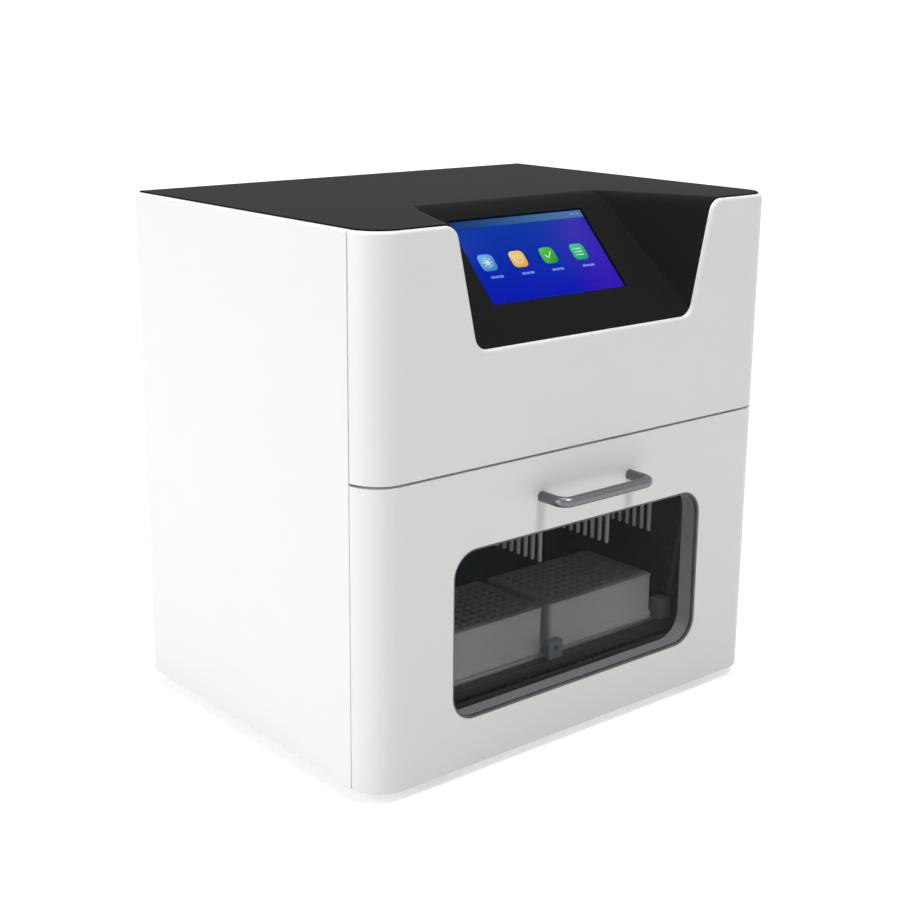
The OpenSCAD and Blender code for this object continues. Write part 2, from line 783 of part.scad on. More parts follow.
module pulley(x) {
    bar_y(pulley_r, belt_y - 0.5, belt_y + belt_w + 0.5, x, pulley_z);
    bar_y(pulley_r + 3, belt_y - 2, belt_y - 0.5, x, pulley_z);
    bar_y(pulley_r + 3, belt_y + belt_w + 0.5, belt_y + belt_w + 2, x, pulley_z);
}
module x_drive_pulley() {
    color("silver") {
        pulley(pulley_x);
        bar_y(shaft_r, belt_y, chamber_back + sheet_t + 12, pulley_x, pulley_z);
    }
}
module x_idler_pulley() {
    color("silver") difference() {
        pulley(-pulley_x);
        bar_y(shaft_r + run_fit, belt_y - 5, belt_y + belt_w + 5, -pulley_x, pulley_z);
    }
}
module idler_axle() {
    color("gray") {
        bar_y(shaft_r, belt_y - 4, chamber_back, -pulley_x, pulley_z);
        bar_y(shaft_r + 2, belt_y + belt_w + 2.5, chamber_back, -pulley_x, pulley_z);
    }
}
module x_motor() {
    m = 17.5;
    y = chamber_back + sheet_t;
    color("#303030") difference() {
        box([pulley_x - m, y, pulley_z - m], [pulley_x + m, y + 36, pulley_z + m]);
        bar_y(shaft_r + run_fit, y - 1, y + 13, pulley_x, pulley_z);
    }
}

// ---- Head ----
module gantry_plate() {
    color("#b8bcbe") difference() {
        union() {
            box([head_x - gantry_half, gantry_y, gantry_low],
                [head_x + gantry_half, gantry_y + gantry_t, gantry_top]);
            box([head_x - 30, upright_y - 6, gantry_top - 6], [head_x + 30, gantry_y, gantry_top]);
            box([head_x - 12, screw_y - 9, gantry_low], [head_x + 12, gantry_y, gantry_low + 8]);
            box([head_x - 10, gantry_y, pulley_z + 4], [head_x + 10, belt_y + belt_w + 2, pulley_z + 15]);
        }
        bar_z(screw_r + run_fit, gantry_low - 1, gantry_low + 10, head_x, screw_y);
        bar_z(screw_r + 1, gantry_top - 8, gantry_top + 1, head_x, screw_y);
        box([head_x - 11, belt_y - 0.4, pulley_z + pulley_r],
            [head_x + 11, belt_y + belt_w + 0.4, pulley_z + pulley_r + belt_t + 0.6]);
        for (x = [-37, 37]) upright(gantry_y - 1, gantry_y + gantry_t + 1)
            translate([head_x + x, gantry_low + 40]) round_rect(30, 60, 6);
    }
}
module z_rails() {
    color("silver") for (x = [-z_rail_x, z_rail_x])
        box([head_x + x - z_rail_w / 2, gantry_y - z_rail_t, gantry_low + 2],
            [head_x + x + z_rail_w / 2, gantry_y, gantry_top - 2]);
}
module lift_motor() {
    m = 17.5;
    color("#303030") difference() {
        box([head_x - m, screw_y - m, gantry_top], [head_x + m, screw_y + m, gantry_top + 34]);
        bar_z(screw_r + run_fit, gantry_top - 1, gantry_top + 8, head_x, screw_y);
    }
}
module lift_screw() {
    color("silver") bar_z(screw_r, gantry_low + 1, gantry_top + 6, head_x, screw_y);
}
module sleeve_frame() {
    block_h = 43;
    nut_h = 18;
    s = block_slip;
    y2 = upright_y + upright_t;
    color("#c4c8ca") difference() {
        union() {
            box([head_lo, head_front, frame_z], [head_hi, upright_y, frame_z + frame_t]);
            box([head_x - 76, upright_y, frame_z], [head_x + 76, y2, upright_top]);
            for (x = [-z_rail_x, z_rail_x])
                box([head_x + x - 13, y2, upright_top - block_h],
                    [head_x + x + 13, gantry_y - 2, upright_top]);
            box([head_x - 11, y2, upright_top - nut_h], [head_x + 11, screw_y + 7, upright_top]);
            box([head_x - 35, guide_y - 10, bridge_z], [head_x + 35, upright_y, bridge_z + bridge_t]);
            for (x = [-guide_dx, guide_dx])
                bar_z(guide_r, frame_z + frame_t - 1, bridge_z + 1, head_x + x, guide_y);
        }
        for (x = [-z_rail_x, z_rail_x])
            box([head_x + x - z_rail_w / 2 - s, gantry_y - z_rail_t - s, upright_top - block_h - 1],
                [head_x + x + z_rail_w / 2 + s, gantry_y, upright_top + 1]);
        bar_z(screw_r + run_fit, upright_top - nut_h - 1, upright_top + 1, head_x, screw_y);
        for (x = place_x, j = [0:well_rows - 1])
            bar_z(rod_r + 0.7, frame_z - 1, frame_z + frame_t + 1, x, row_y0 + j * well_pitch);
        bar_z(mscrew_r + run_fit, bridge_z - 1, bridge_z + bridge_t + 1, head_x, mscrew_y);
        bar_z(mscrew_r + 1, frame_z - 1, frame_z + frame_t + 1, head_x, mscrew_y);
    }
}
module sleeve_combs() {
    strip = 3;
    color("#e8eaea") for (x = comb_x) difference() {
        union() {
            box([x - comb_half, row_y0 - 8, frame_z - strip],
                [x + comb_half, row_y0 + row_span + 8, frame_z]);
            for (j = [0:well_rows - 1]) bar_z(sleeve_r, tip_z, frame_z - 1, x, row_y0 + j * well_pitch);
        }
        for (j = [0:well_rows - 1]) bar_z(rod_r + 0.4, tip_z + 1.2, frame_z + 1, x, row_y0 + j * well_pitch);
    }
}
module magnet_motor() {
    m = 14;
    z = bridge_z + bridge_t;
    color("#303030") difference() {
        box([head_x - m, mscrew_y - m, z], [head_x + m, mscrew_y + m, z + 28]);
        bar_z(mscrew_r + run_fit, z - 1, z + 8, head_x, mscrew_y);
    }
}
module magnet_screw() {
    color("silver") bar_z(mscrew_r, frame_z + 1, bridge_z + bridge_t + 6, head_x, mscrew_y);
}
module magnet_bar() {
    color("#9aa0a3") difference() {
        box([head_lo + 2, head_front + 1, magnet_z],
            [head_hi - 2, row_y0 + row_span + 12, magnet_z + magnet_t]);
        for (x = [-guide_dx, guide_dx])
            bar_z(guide_r + run_fit, magnet_z - 1, magnet_z + magnet_t + 1, head_x + x, guide_y);
        bar_z(mscrew_r + run_fit, magnet_z - 1, magnet_z + magnet_t + 1, head_x, mscrew_y);
    }
}
module magnet_rods() {
    color("#70767a") for (x = comb_x, j = [0:well_rows - 1])
        bar_z(rod_r, tip_z + 1.5, magnet_z, x, row_y0 + j * well_pitch);
}

base_plate();
rubber_feet();
left_side_panel();
right_side_panel();
rear_panel();
top_cover();
front_cover();
front_bulkhead();
door_seal();
chamber_left_wall();
chamber_right_wall();
chamber_back_wall();
chamber_floor();
plate_carrier();
heater_block();
left_well_plate();
right_well_plate();
plate_stops();
x_rails();
x_motor();
x_belt();
idler_axle();
uv_lamp();
fan_frame();
power_inlet();
power_supply();
control_board();
touch_glass();
lcd_panel();
display_bracket();
hinge_brackets();
hinge_pins();
rear_screws();
back_post();
door_shell();
door_liner();
door_window();
window_gasket();
door_handle();
handle_screws();
hinge_knuckles();
strut_bracket();
catch_magnets();
strut_tube();
strut_rod();
gantry_plate();
x_bearings();
z_rails();
lift_motor();
sleeve_frame();
sleeve_combs();
magnet_motor();
magnet_bar();
magnet_rods();
x_drive_pulley();
x_idler_pulley();
lift_screw();
magnet_screw();
power_rocker();
fan_rotor();
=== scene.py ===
"""Bench extractor for nucleic acids: finishes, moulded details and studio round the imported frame.

All sizes in the classes are millimetres in the frame's own axes: X to the right, Y to the
rear, Z up, with the origin on the bench under the middle of the instrument.
"""

import logging
import math
from collections.abc import Callable
from dataclasses import dataclass, field
from enum import Enum

import bmesh
import bpy
import numpy as np
from mathutils import Matrix, Vector


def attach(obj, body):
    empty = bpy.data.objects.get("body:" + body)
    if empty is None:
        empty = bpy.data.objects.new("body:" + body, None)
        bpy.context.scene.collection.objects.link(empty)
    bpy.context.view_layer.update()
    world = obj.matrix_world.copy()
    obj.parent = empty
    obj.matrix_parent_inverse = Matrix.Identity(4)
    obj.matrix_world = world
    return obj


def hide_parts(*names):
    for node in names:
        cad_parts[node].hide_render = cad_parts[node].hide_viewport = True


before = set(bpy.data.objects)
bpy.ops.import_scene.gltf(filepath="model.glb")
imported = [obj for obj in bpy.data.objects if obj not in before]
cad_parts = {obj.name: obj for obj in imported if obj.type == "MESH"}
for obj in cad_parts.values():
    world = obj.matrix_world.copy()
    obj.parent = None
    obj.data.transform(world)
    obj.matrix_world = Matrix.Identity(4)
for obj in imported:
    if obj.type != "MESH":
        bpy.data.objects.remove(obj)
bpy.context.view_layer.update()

MM = 0.001
WELD = 2e-6
COPLANAR = math.radians(0.4)
LOG = logging.getLogger("extractor")
Colour = tuple[int, int, int]
Shape = tuple[np.ndarray, list[np.ndarray]]
Socket = bpy.types.NodeSocket


class Body(str, Enum):
    """The moving groups that carry pieces made here."""

    HOUSING = "housing"
    DOOR = "door"
    STRUT_CYLINDER = "strut_cylinder"
    STRUT_PISTON = "strut_piston"
    GANTRY = "gantry"
    SLEEVES = "sleeve_carriage"
    MAGNETS = "magnet_carriage"
    ROCKER = "rocker"
    FAN = "fan_wheel"


class Grain(Enum):
    """Direction in which a metal has been drawn or brushed."""

    ALONG_X = (0.02, 1.0, 1.0)
    ALONG_Z = (1.0, 1.0, 0.02)
    NONE = (1.0, 1.0, 1.0)


# ---------------------------------------------------------------- finishes


def linear(colour: Colour) -> tuple[float, float, float, float]:
    """Turns a display colour of 0 to 255 into the linear one that a shader takes.

    Args:
        colour: red, green and blue as they look on a display.

    Returns:
        Linear red, green, blue and an alpha of 1.
    """
    c = np.asarray(colour, float) / 255.0
    c = np.where(c <= 0.04045, c / 12.92, ((c + 0.055) / 1.055) ** 2.4)
    return (float(c[0]), float(c[1]), float(c[2]), 1.0)


class Graph:
    """One node material round a Principled shader."""

    def __init__(self, name: str) -> None:
        """Starts an empty material with its shader and output."""
        self.material = bpy.data.materials.new(name)
        self.material.use_nodes = True
        self.tree = self.material.node_tree
        self.tree.nodes.clear()
        self.shader = self.tree.nodes.new("ShaderNodeBsdfPrincipled")
        out = self.tree.nodes.new("ShaderNodeOutputMaterial")
        self.tree.links.new(self.shader.outputs[0], out.inputs[0])

    def add(self, kind: str, inputs: dict | None = None, **attributes: object) -> bpy.types.Node:
        """Adds a node.

        Args:
            kind: the node's type.
            inputs: socket name or number, with a value or another node's output.
            attributes: settings of the node itself.

        Returns:
            The new node.
        """
        made = self.tree.nodes.new(kind)
        for key, value in attributes.items():
            setattr(made, key, value)
        self.feed(made, inputs or {})
        return made

    def feed(self, node: bpy.types.Node, inputs: dict) -> None:
        """Sets or links the given sockets of a node."""
        for key, value in inputs.items():
            if isinstance(value, Socket):
                self.tree.links.new(value, node.inputs[key])
            else:
                node.inputs[key].default_value = value

    def dress(self, **inputs: object) -> None:
        """Sets or links the shader's sockets, with underscores for the spaces in their names."""
        self.feed(self.shader, {k.replace("_", " "): v for k, v in inputs.items()})

    def place(self, stretch: tuple[float, float, float] = (1.0, 1.0, 1.0)) -> Socket:
        """Object coordinates, stretched for each axis."""
        where = self.add("ShaderNodeTexCoord").outputs["Object"]
        return self.add("ShaderNodeMapping", {"Vector": where, "Scale": stretch}).outputs[0]

    def noise(self, size: float, where: Socket, detail: float = 2.0) -> Socket:
        """Noise with features of about size millimetres."""
        made = self.add("ShaderNodeTexNoise", {"Vector": where, "Scale": 1.0 / (size * MM), "Detail": detail})
        return made.outputs[0]

    def span(self, value: Socket, low: float, high: float, start: float = 0.3,
             end: float = 0.7) -> Socket:
        """Maps start to end of a value onto low to high."""
        made = self.add("ShaderNodeMapRange", {0: value, 1: start, 2: end, 3: low, 4: high})
        return made.outputs[0]

    def mix(self, factor: Socket, first: object, second: object) -> Socket:
        """Mixes two colours."""
        made = self.add("ShaderNodeMix", {0: factor, 6: first, 7: second}, data_type="RGBA")
        return made.outputs[2]

    def bump(self, height: Socket, depth: float, under: Socket | None = None) -> Socket:
        """Bump of depth millimetres from a height, on top of another one if there is one."""
        inputs: dict = {"Height": height, "Distance": depth * MM, "Strength": 1.0}
        if under is not None:
            inputs["Normal"] = under
        return self.add("ShaderNodeBump", inputs).outputs[0]


@dataclass(frozen=True)
class Finish:
    """What every finish has: a name, the record's slot, a colour and a roughness."""

    name: str
    slot: str
    colour: Colour
    roughness: float

    def material(self) -> bpy.types.Material:
        """The finish's material, made the first time it is asked for."""
        found = bpy.data.materials.get(self.name)
        return found if found is not None else self.make()

    def make(self) -> bpy.types.Material:
        """Builds the node material."""
        raise NotImplementedError

    def shade(self, share: float) -> tuple[float, float, float, float]:
        """The colour, lighter or darker by a share."""
        r, g, b, a = linear(self.colour)
        return (r * share, g * share, b * share, a)


@dataclass(frozen=True)
class Moulded(Finish):
    """Moulded plastic or powder coat: fine grain, faint clouds of colour and uneven gloss.

    The grain is noise of `grain` millimetres raised by `depth`; the ripple is the slow
    waviness of a large moulded or coated face.
    """

    grain: float = 0.7
    depth: float = 0.012
    ripple: float = 26.0
    ripple_depth: float = 0.02
    clouds: float = 0.03
    specular: float = 0.5
    gloss: float = 0.045

    def make(self) -> bpy.types.Material:
        """Builds the node material."""
        g = Graph(self.name)
        where = g.place()
        cloud = g.noise(70.0, where, 3.0)
        fine = g.noise(self.grain, where, 1.0)
        wave = g.bump(g.noise(self.ripple, where, 1.0), self.ripple_depth)
        normal = g.bump(fine, self.depth, under=wave)
        rough = g.span(g.noise(9.0, where, 3.0), self.roughness - self.gloss, self.roughness + self.gloss)
        g.dress(Base_Color=g.mix(cloud, self.shade(1.0 - self.clouds), self.shade(1.0 + self.clouds)),
                Roughness=rough, Normal=normal, Specular_IOR_Level=self.specular)
        return g.material


@dataclass(frozen=True)
class Metal(Finish):
    """Bare metal with the fine lines of drawing, milling or brushing.

    The lines are noise squeezed across the grain's direction; they lift the surface and
    vary its gloss. Stains are slow noise in colour and roughness.
    """

    grain: Grain = Grain.NONE
    line: float = 0.25
    depth: float = 0.004
    stains: float = 0.06

    def make(self) -> bpy.types.Material:
        """Builds the node material."""
        g = Graph(self.name)
        where = g.place()
        lines = g.noise(self.line, g.place(self.grain.value), 3.0)
        slow = g.noise(24.0, where, 3.0)
        rough = g.add("ShaderNodeMath", {0: g.span(lines, self.roughness - 0.05, self.roughness + 0.07),
                                         1: g.span(slow, -0.03, 0.04)}, operation="ADD").outputs[0]
        g.dress(Base_Color=g.mix(slow, self.shade(1.0 - self.stains), self.shade(1.0 + self.stains)),
                Metallic=1.0, Roughness=rough, Normal=g.bump(lines, self.depth))
        return g.material


@dataclass(frozen=True)
class Rubber(Finish):
    """Rubber: fine pores and a pale bloom on parts of it."""

    pore: float = 0.9

    def make(self) -> bpy.types.Material:
        """Builds the node material."""
        g = Graph(self.name)
        where = g.place()
        bloom = g.span(g.noise(14.0, where, 4.0), 0.0, 1.0, 0.45, 0.75)
        pores = g.noise(self.pore, where, 2.0)
        g.dress(Base_Color=g.mix(bloom, self.shade(0.9), self.shade(1.5)),
                Roughness=g.span(pores, self.roughness - 0.06, self.roughness + 0.08),
                Normal=g.bump(pores, 0.03))
        return g.material


@dataclass(frozen=True)
class Clear(Finish):
    """Tinted see-through sheet: alpha gives the tint, with smears in the gloss."""

    alpha: float = 0.4
    smear: float = 0.04
    specular: float = 0.5

    def make(self) -> bpy.types.Material:
        """Builds the node material."""
        g = Graph(self.name)
        where = g.place()
        smear = g.noise(18.0, where, 4.0)
        g.dress(Base_Color=g.mix(smear, self.shade(0.9), self.shade(1.1)),
                Roughness=g.span(smear, self.roughness, self.roughness + self.smear),
                Normal=g.bump(g.noise(60.0, where, 1.0), 0.02), Alpha=self.alpha,
                Specular_IOR_Level=self.specular)
        g.material.surface_render_method = "BLENDED"
        return g.material


@dataclass(frozen=True)
class Lit(Finish):
    """A lit patch of the display, with colours running between its four corners.

    The piece's UV map runs 0 to 1 over the patch: bottom left, bottom right, top left and
    top right are the corner colours.
    """

    bottom_right: Colour = (0, 0, 0)
    top_left: Colour = (0, 0, 0)
    top_right: Colour = (0, 0, 0)
    start: float = 0.0
    end: float = 1.0
    strength: float = 1.0

    def make(self) -> bpy.types.Material:
        """Builds the node material."""
        g = Graph(self.name)
        uv = g.add("ShaderNodeTexCoord").outputs["UV"]
        split = g.add("ShaderNodeSeparateXYZ", {0: uv})
        across = g.add("ShaderNodeMapRange", {0: split.outputs[0], 1: self.start, 2: self.end},
                       interpolation_type="SMOOTHSTEP").outputs[0]
        low = g.mix(across, linear(self.colour), linear(self.bottom_right))
        high = g.mix(across, linear(self.top_left), linear(self.top_right))
        glow = g.mix(split.outputs[1], low, high)
        g.dress(Base_Color=self.shade(0.15), Roughness=self.roughness, Specular_IOR_Level=0.03,
                Emission_Color=glow, Emission_Strength=self.strength)
        return g.material


def patch(name: str, *corners: Colour, **run: float) -> Lit:
    """The finish of a lit patch of the display.

    Args:
        name: the finish's name.
        corners: colours of the bottom left, bottom right, top left and top right corner.
        run: where the change from left to right starts and ends.

    Returns:
        The finish.
    """
    return Lit(name, "screen_blue", corners[0], 0.35, *corners[1:], **run)


class Palette:
    """Every finish of the instrument."""

    PANEL = Moulded("powder_coat_white", "white_panel", (240, 240, 239), 0.42, grain=0.9, depth=0.008,
                    ripple_depth=0.008, clouds=0.01)
    SHELL = Moulded("moulding_white", "white_moulding", (240, 240, 239), 0.36, grain=0.5, depth=0.005,
                    ripple_depth=0.008, clouds=0.01)
    COVER = Moulded("moulding_black", "dark_cover", (33, 33, 34), 0.5, grain=0.45, depth=0.006,
                    ripple_depth=0.0, clouds=0.0, specular=0.007, gloss=0.0)
    STEEL = Metal("zinc_sheet", "steel_sheet", (178, 181, 182), 0.38, line=1.4, stains=0.12)
    CHAMBER = Moulded("chamber_coat", "chamber_dark", (70, 76, 80), 0.6, depth=0.002,
                      ripple_depth=0.0, clouds=0.0, specular=0.2, gloss=0.0)
    CHAMBER_BACK = Moulded("chamber_coat_teal", "chamber_dark", (72, 98, 107), 0.6, depth=0.002,
                           ripple_depth=0.0, clouds=0.0, specular=0.2, gloss=0.0)
    RUBBER = Rubber("rubber_black", "rubber_black", (26, 26, 27), 0.72)
    PANE = Clear("smoked_sheet", "smoked_pane", (24, 26, 27), 0.05, alpha=0.2, specular=0.15)
    BEAD = Rubber("bead_grey", "rubber_black", (96, 97, 98), 0.6)
    GLASS = Clear("cover_glass", "screen_glass", (8, 10, 14), 0.06, alpha=0.10, smear=0.03, specular=0.06)
    LINER = Moulded("liner_grey", "liner_grey", (150, 153, 154), 0.5, grain=0.8, depth=0.02)
    HANDLE = Metal("satin_chrome_x", "handle_steel", (112, 113, 115), 0.27, Grain.ALONG_X, 0.3, 0.002, 0.03)
    RAIL = Metal("ground_rail", "rail_steel", (190, 192, 193), 0.26, Grain.ALONG_X, 0.5)
    RAIL_Z = Metal("ground_rail_upright", "rail_steel", (190, 192, 193), 0.26, Grain.ALONG_Z, 0.5)
    POLISHED = Metal("polished_shaft", "polished_steel", (205, 206, 207), 0.14, Grain.ALONG_Z, 0.4, 0.001)
    ALLOY = Metal("anodised_alloy", "aluminium", (188, 190, 192), 0.4, Grain.ALONG_X, 0.6, 0.004)
    PLATE = Moulded("plate_polypropylene", "plate_plastic", (205, 207, 206), 0.38, grain=1.4, depth=0.01)
    SLEEVE = Moulded("sleeve_polypropylene", "sleeve_plastic", (222, 226, 226), 0.3, grain=1.0, depth=0.005)
    # Aluminium darkened to a dark grey as painted shade: the carrier and heater block sit in the shadow under
    # the plates.
    SHADED_ALLOY = Metal("alloy_painted_shade", "aluminium", (72, 75, 77), 0.55, Grain.ALONG_X, 2.4, 0.001)
    STOP = Moulded("stop_block", "stop_grey", (124, 132, 138), 0.45, grain=0.8, depth=0.02)
    MOTOR = Moulded("motor_black", "motor_black", (40, 40, 42), 0.42, grain=1.2, depth=0.02)
    BLACK_METAL = Moulded("black_coat", "black_metal", (62, 63, 65), 0.34, grain=0.7, depth=0.01)
    BLACK = Moulded("socket_black", "black_plastic", (30, 30, 31), 0.48, grain=0.6, depth=0.02)
    BOARD = Moulded("board_green", "board_green", (30, 92, 58), 0.35, grain=2.2, depth=0.02, clouds=0.1)
    LAMP = Clear("lamp_quartz", "lamp_glass", (225, 232, 236), 0.05, alpha=0.62)
    ROCKER = Moulded("rocker_red", "rocker_red", (176, 28, 26), 0.3, grain=0.9, depth=0.006)
    LCD = Moulded("display_frame", "screen_blue", (36, 38, 42), 0.4, grain=0.8, depth=0.01)
    DESKTOP = patch("desktop_blue", (0, 20, 184), (60, 22, 188), (0, 58, 162), (56, 48, 176),
                    start=0.58, end=0.95)
    STATUS = patch("status_bar", (22, 62, 122), (74, 124, 176), (26, 64, 118), (78, 128, 178))
    CAPTION = patch("caption_pale", (112, 150, 222), (132, 148, 224), (112, 150, 222), (132, 148, 224))
    GLYPH = patch("glyph_white", (204, 226, 224), (204, 226, 224), (212, 230, 228), (212, 230, 228))
    TILE_BLUE = patch("tile_light_blue", (78, 152, 214), (60, 130, 208), (120, 196, 236), (96, 170, 226))
    TILE_AMBER = patch("tile_amber", (248, 184, 66), (248, 166, 58), (252, 222, 112), (250, 204, 88))
    TILE_GREEN = patch("tile_green", (60, 178, 44), (40, 150, 34), (96, 208, 66), (66, 184, 48))
    TILE_TEAL = patch("tile_sea_green", (30, 176, 112), (30, 160, 104), (74, 220, 152), (50, 196, 130))


# ---------------------------------------------------------------- surfaces


@dataclass(frozen=True)
class Seat:
    """A place for a flat drawing: where its origin lies and where its three axes point."""

    origin: tuple[float, float, float] = (0.0, 0.0, 0.0)
    right: tuple[float, float, float] = (1.0, 0.0, 0.0)
    up: tuple[float, float, float] = (0.0, 1.0, 0.0)

    def set_down(self, points: np.ndarray) -> np.ndarray:
        """Carries points onto the seat.

        Args:
            points: n by 3, along right, up and out of the drawing.

        Returns:
            The same points in the frame: origin + x right + y up + z (right cross up).
        """
        r, u = np.asarray(self.right, float), np.asarray(self.up, float)
        return np.asarray(self.origin, float) + points @ np.stack([r, u, np.cross(r, u)])


FACING_REAR = Seat(right=(-1.0, 0.0, 0.0), up=(0.0, 0.0, 1.0))


def grid_faces(rows: int, columns: int, wrap: bool = False, start: int = 0) -> np.ndarray:
    """Quads of a grid of points stored row by row.

    Args:
        rows: number of rows of points.
        columns: points in a row.
        wrap: joins the last column to the first.
        start: number of the grid's first point.

    Returns:
        Point numbers, four to a face.
    """
    r, c = np.meshgrid(np.arange(rows - 1), np.arange(columns if wrap else columns - 1), indexing="ij")
    d = (c + 1) % columns
    quads = np.stack([r * columns + c, r * columns + d, (r + 1) * columns + d, (r + 1) * columns + c], -1)
    return quads.reshape(-1, 4) + start


def piece(name: str, points: np.ndarray, faces: list[np.ndarray], finish: Finish, body: Body,
          crease: float = 35.0, uv: np.ndarray | None = None) -> bpy.types.Object:
    """Puts whole arrays of points and faces into a new piece.

    Args:
        name: the piece's name.
        points: n by 3, in millimetres.
        faces: arrays of point numbers, each as wide as its faces have corners.
        finish: the finish of the whole piece.
        body: the moving group that it rides on.
        crease: edges sharper than this many degrees stay hard.
        uv: two numbers for each point, for a finish that follows the surface.

    Returns:
        The new object, closed and with its faces outwards.
    """
    mesh = bpy.data.meshes.new(name)
    sizes = np.concatenate([np.full(len(f), f.shape[1]) for f in faces])
    loops = np.concatenate([f.ravel() for f in faces]).astype(np.int32)
    mesh.vertices.add(len(points))
    mesh.vertices.foreach_set("co", (np.asarray(points, float) * MM).astype(np.float32).ravel())
    mesh.loops.add(len(loops))
    mesh.loops.foreach_set("vertex_index", loops)
    mesh.polygons.add(len(sizes))
    mesh.polygons.foreach_set("loop_start", np.concatenate([[0], np.cumsum(sizes)[:-1]]).astype(np.int32))
    mesh.update(calc_edges=True)
    if uv is not None:
        mesh.uv_layers.new(name="UVMap").data.foreach_set("uv", uv[loops].astype(np.float32).ravel())
    work = bmesh.new()
    work.from_mesh(mesh)
    bmesh.ops.remove_doubles(work, verts=work.verts, dist=WELD)
    bmesh.ops.dissolve_degenerate(work, edges=work.edges, dist=1e-7)
    bmesh.ops.recalc_face_normals(work, faces=work.faces)
    work.to_mesh(mesh)
    work.free()
    return settle(bpy.data.objects.new(name, mesh), finish, body, crease)


def settle(made: bpy.types.Object, finish: Finish, body: Body, crease: float = 35.0) -> bpy.types.Object:
    """Links a new piece, smooths it, gives it its finish and lets it ride on its body.

    Args:
        made: the new object.
        finish: the finish of the whole piece.
        body: the moving group that it rides on.
        crease: edges sharper than this many degrees stay hard.

    Returns:
        The same object.
    """
    mesh = made.data
    mesh.polygons.foreach_set("use_smooth", np.ones(len(mesh.polygons), bool))
    mesh.set_sharp_from_angle(angle=math.radians(crease))
    mesh.materials.clear()
    mesh.materials.append(finish.material())
    bpy.context.scene.collection.objects.link(made)
    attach(made, body.value)
    LOG.info("%s: %d faces, rides on %s", made.name, len(mesh.polygons), body.value)
    return made


def round_edges(made: bpy.types.Object, width: float, segments: int, angle: float) -> None:
    """Breaks the sharp edges of a piece with a live bevel, and keeps its flat faces flat.

    Args:
        made: the piece.
        width: width of the bevel in millimetres.
        segments: steps across it.
        angle: edges sharper than this many degrees are broken.
    """
    bevel = made.modifiers.new("edge", "BEVEL")
    bevel.width = width * MM
    bevel.segments = segments
    bevel.limit_method = "ANGLE"
    bevel.angle_limit = math.radians(angle)
    bevel.miter_outer = "MITER_ARC"
    bevel.use_clamp_overlap = True
    weighted = made.modifiers.new("flat", "WEIGHTED_NORMAL")
    weighted.keep_sharp = True


def weigh_edges(mesh: bpy.types.Mesh, angle: float, share: float,
                broad: Callable[[np.ndarray], np.ndarray]) -> None:
    """Gives each edge of a closed mesh its share of the bevel's width.

    An edge is sharp where the product of its two faces' normals is below cos(angle). It gets
    1 where `broad` holds at both of its ends and `share` elsewhere; flat edges get 0.

    Args:
        mesh: the mesh.
        angle: smallest angle of a sharp edge, in degrees.
        share: weight of the sharp edges outside the broad area.
        broad: tells for points in millimetres whether they lie in the broad area.
    """
    ends = np.empty(2 * len(mesh.edges), np.int32)
    mesh.edges.foreach_get("vertices", ends)
    points = np.empty(3 * len(mesh.vertices), np.float32)
    mesh.vertices.foreach_get("co", points)
    edge = np.empty(len(mesh.loops), np.int32)
    mesh.loops.foreach_get("edge_index", edge)
    corners = np.empty(len(mesh.polygons), np.int32)
    mesh.polygons.foreach_get("loop_total", corners)
    normals = np.empty(3 * len(mesh.polygons), np.float32)
    mesh.polygons.foreach_get("normal", normals)
    face = np.repeat(np.arange(len(corners)), corners)[np.argsort(edge, kind="stable")].reshape(-1, 2)
    normals = normals.reshape(-1, 3)
    sharp = (normals[face[:, 0]] * normals[face[:, 1]]).sum(1) < math.cos(math.radians(angle))
    wide = broad(points.reshape(-1, 3) / MM)[ends.reshape(-1, 2)].all(1)
    weight = np.where(sharp, np.where(wide, 1.0, share), 0.0).astype(np.float32)
    mesh.attributes.new("bevel_weight_edge", "FLOAT", "EDGE").data.foreach_set("value", weight)


def softened(node: str, finish: Finish, body: Body, width: float = 0.5, segments: int = 2,
             angle: float = 40.0, broad: Callable[[np.ndarray], np.ndarray] | None = None,
             share: float = 0.3) -> None:
    """A copy of a CAD node with its edges broken, which stands for the node.

    Args:
        node: the CAD node.
        finish: the finish of the copy.
        body: the moving group that it rides on.
        width: width of the broken edges in millimetres.
        segments: steps across them.
        angle: edges sharper than this many degrees are broken.
        broad: where given, only the edges within it get the full width.
        share: the part of the width that the other edges then get.
    """
    work = bmesh.new()
    work.from_mesh(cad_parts[node].data)
    bmesh.ops.remove_doubles(work, verts=work.verts, dist=WELD)
    bmesh.ops.dissolve_limit(work, angle_limit=COPLANAR, verts=work.verts, edges=work.edges)
    mesh = bpy.data.meshes.new(node + "_skin")
    work.to_mesh(mesh)
    work.free()
    made = settle(bpy.data.objects.new(node + "_skin", mesh), finish, body, 30.0)
    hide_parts(node)
    round_edges(made, width, segments, angle)
    if broad is not None:
        weigh_edges(mesh, angle, share, broad)
        made.modifiers["edge"].limit_method = "WEIGHT"


def finish_nodes(finish: Finish, *nodes: str) -> None:
    """Gives CAD nodes their finish as they are."""
    for node in nodes:
        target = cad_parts[node]
        if not target.material_slots:
            target.data.materials.append(None)
        for place in target.material_slots:
            place.material = finish.material()
        LOG.info("%s: finished as %s", node, finish.name)


def rounded_outline(width: float, height: float, radius: float, steps: int = 8) -> np.ndarray:
    """Outline of a rectangle with round corners, centred on the origin, anticlockwise.

    Each corner is steps + 1 points of a quarter circle about its own centre.

    Args:
        width: full width.
        height: full height.
        radius: corner radius.
        steps: straight pieces in each corner.

    Returns:
        4 (steps + 1) points, n by 2.
    """
    quarter = np.linspace(0.0, math.pi / 2, steps + 1)
    turn = (np.arange(4)[:, None] * math.pi / 2 + quarter).ravel()
    x_sign = np.repeat([1, -1, -1, 1], steps + 1)
    y_sign = np.repeat([1, 1, -1, -1], steps + 1)
    x = x_sign * (width / 2 - radius) + radius * np.cos(turn)
    y = y_sign * (height / 2 - radius) + radius * np.sin(turn)
    return np.stack([x, y], -1)


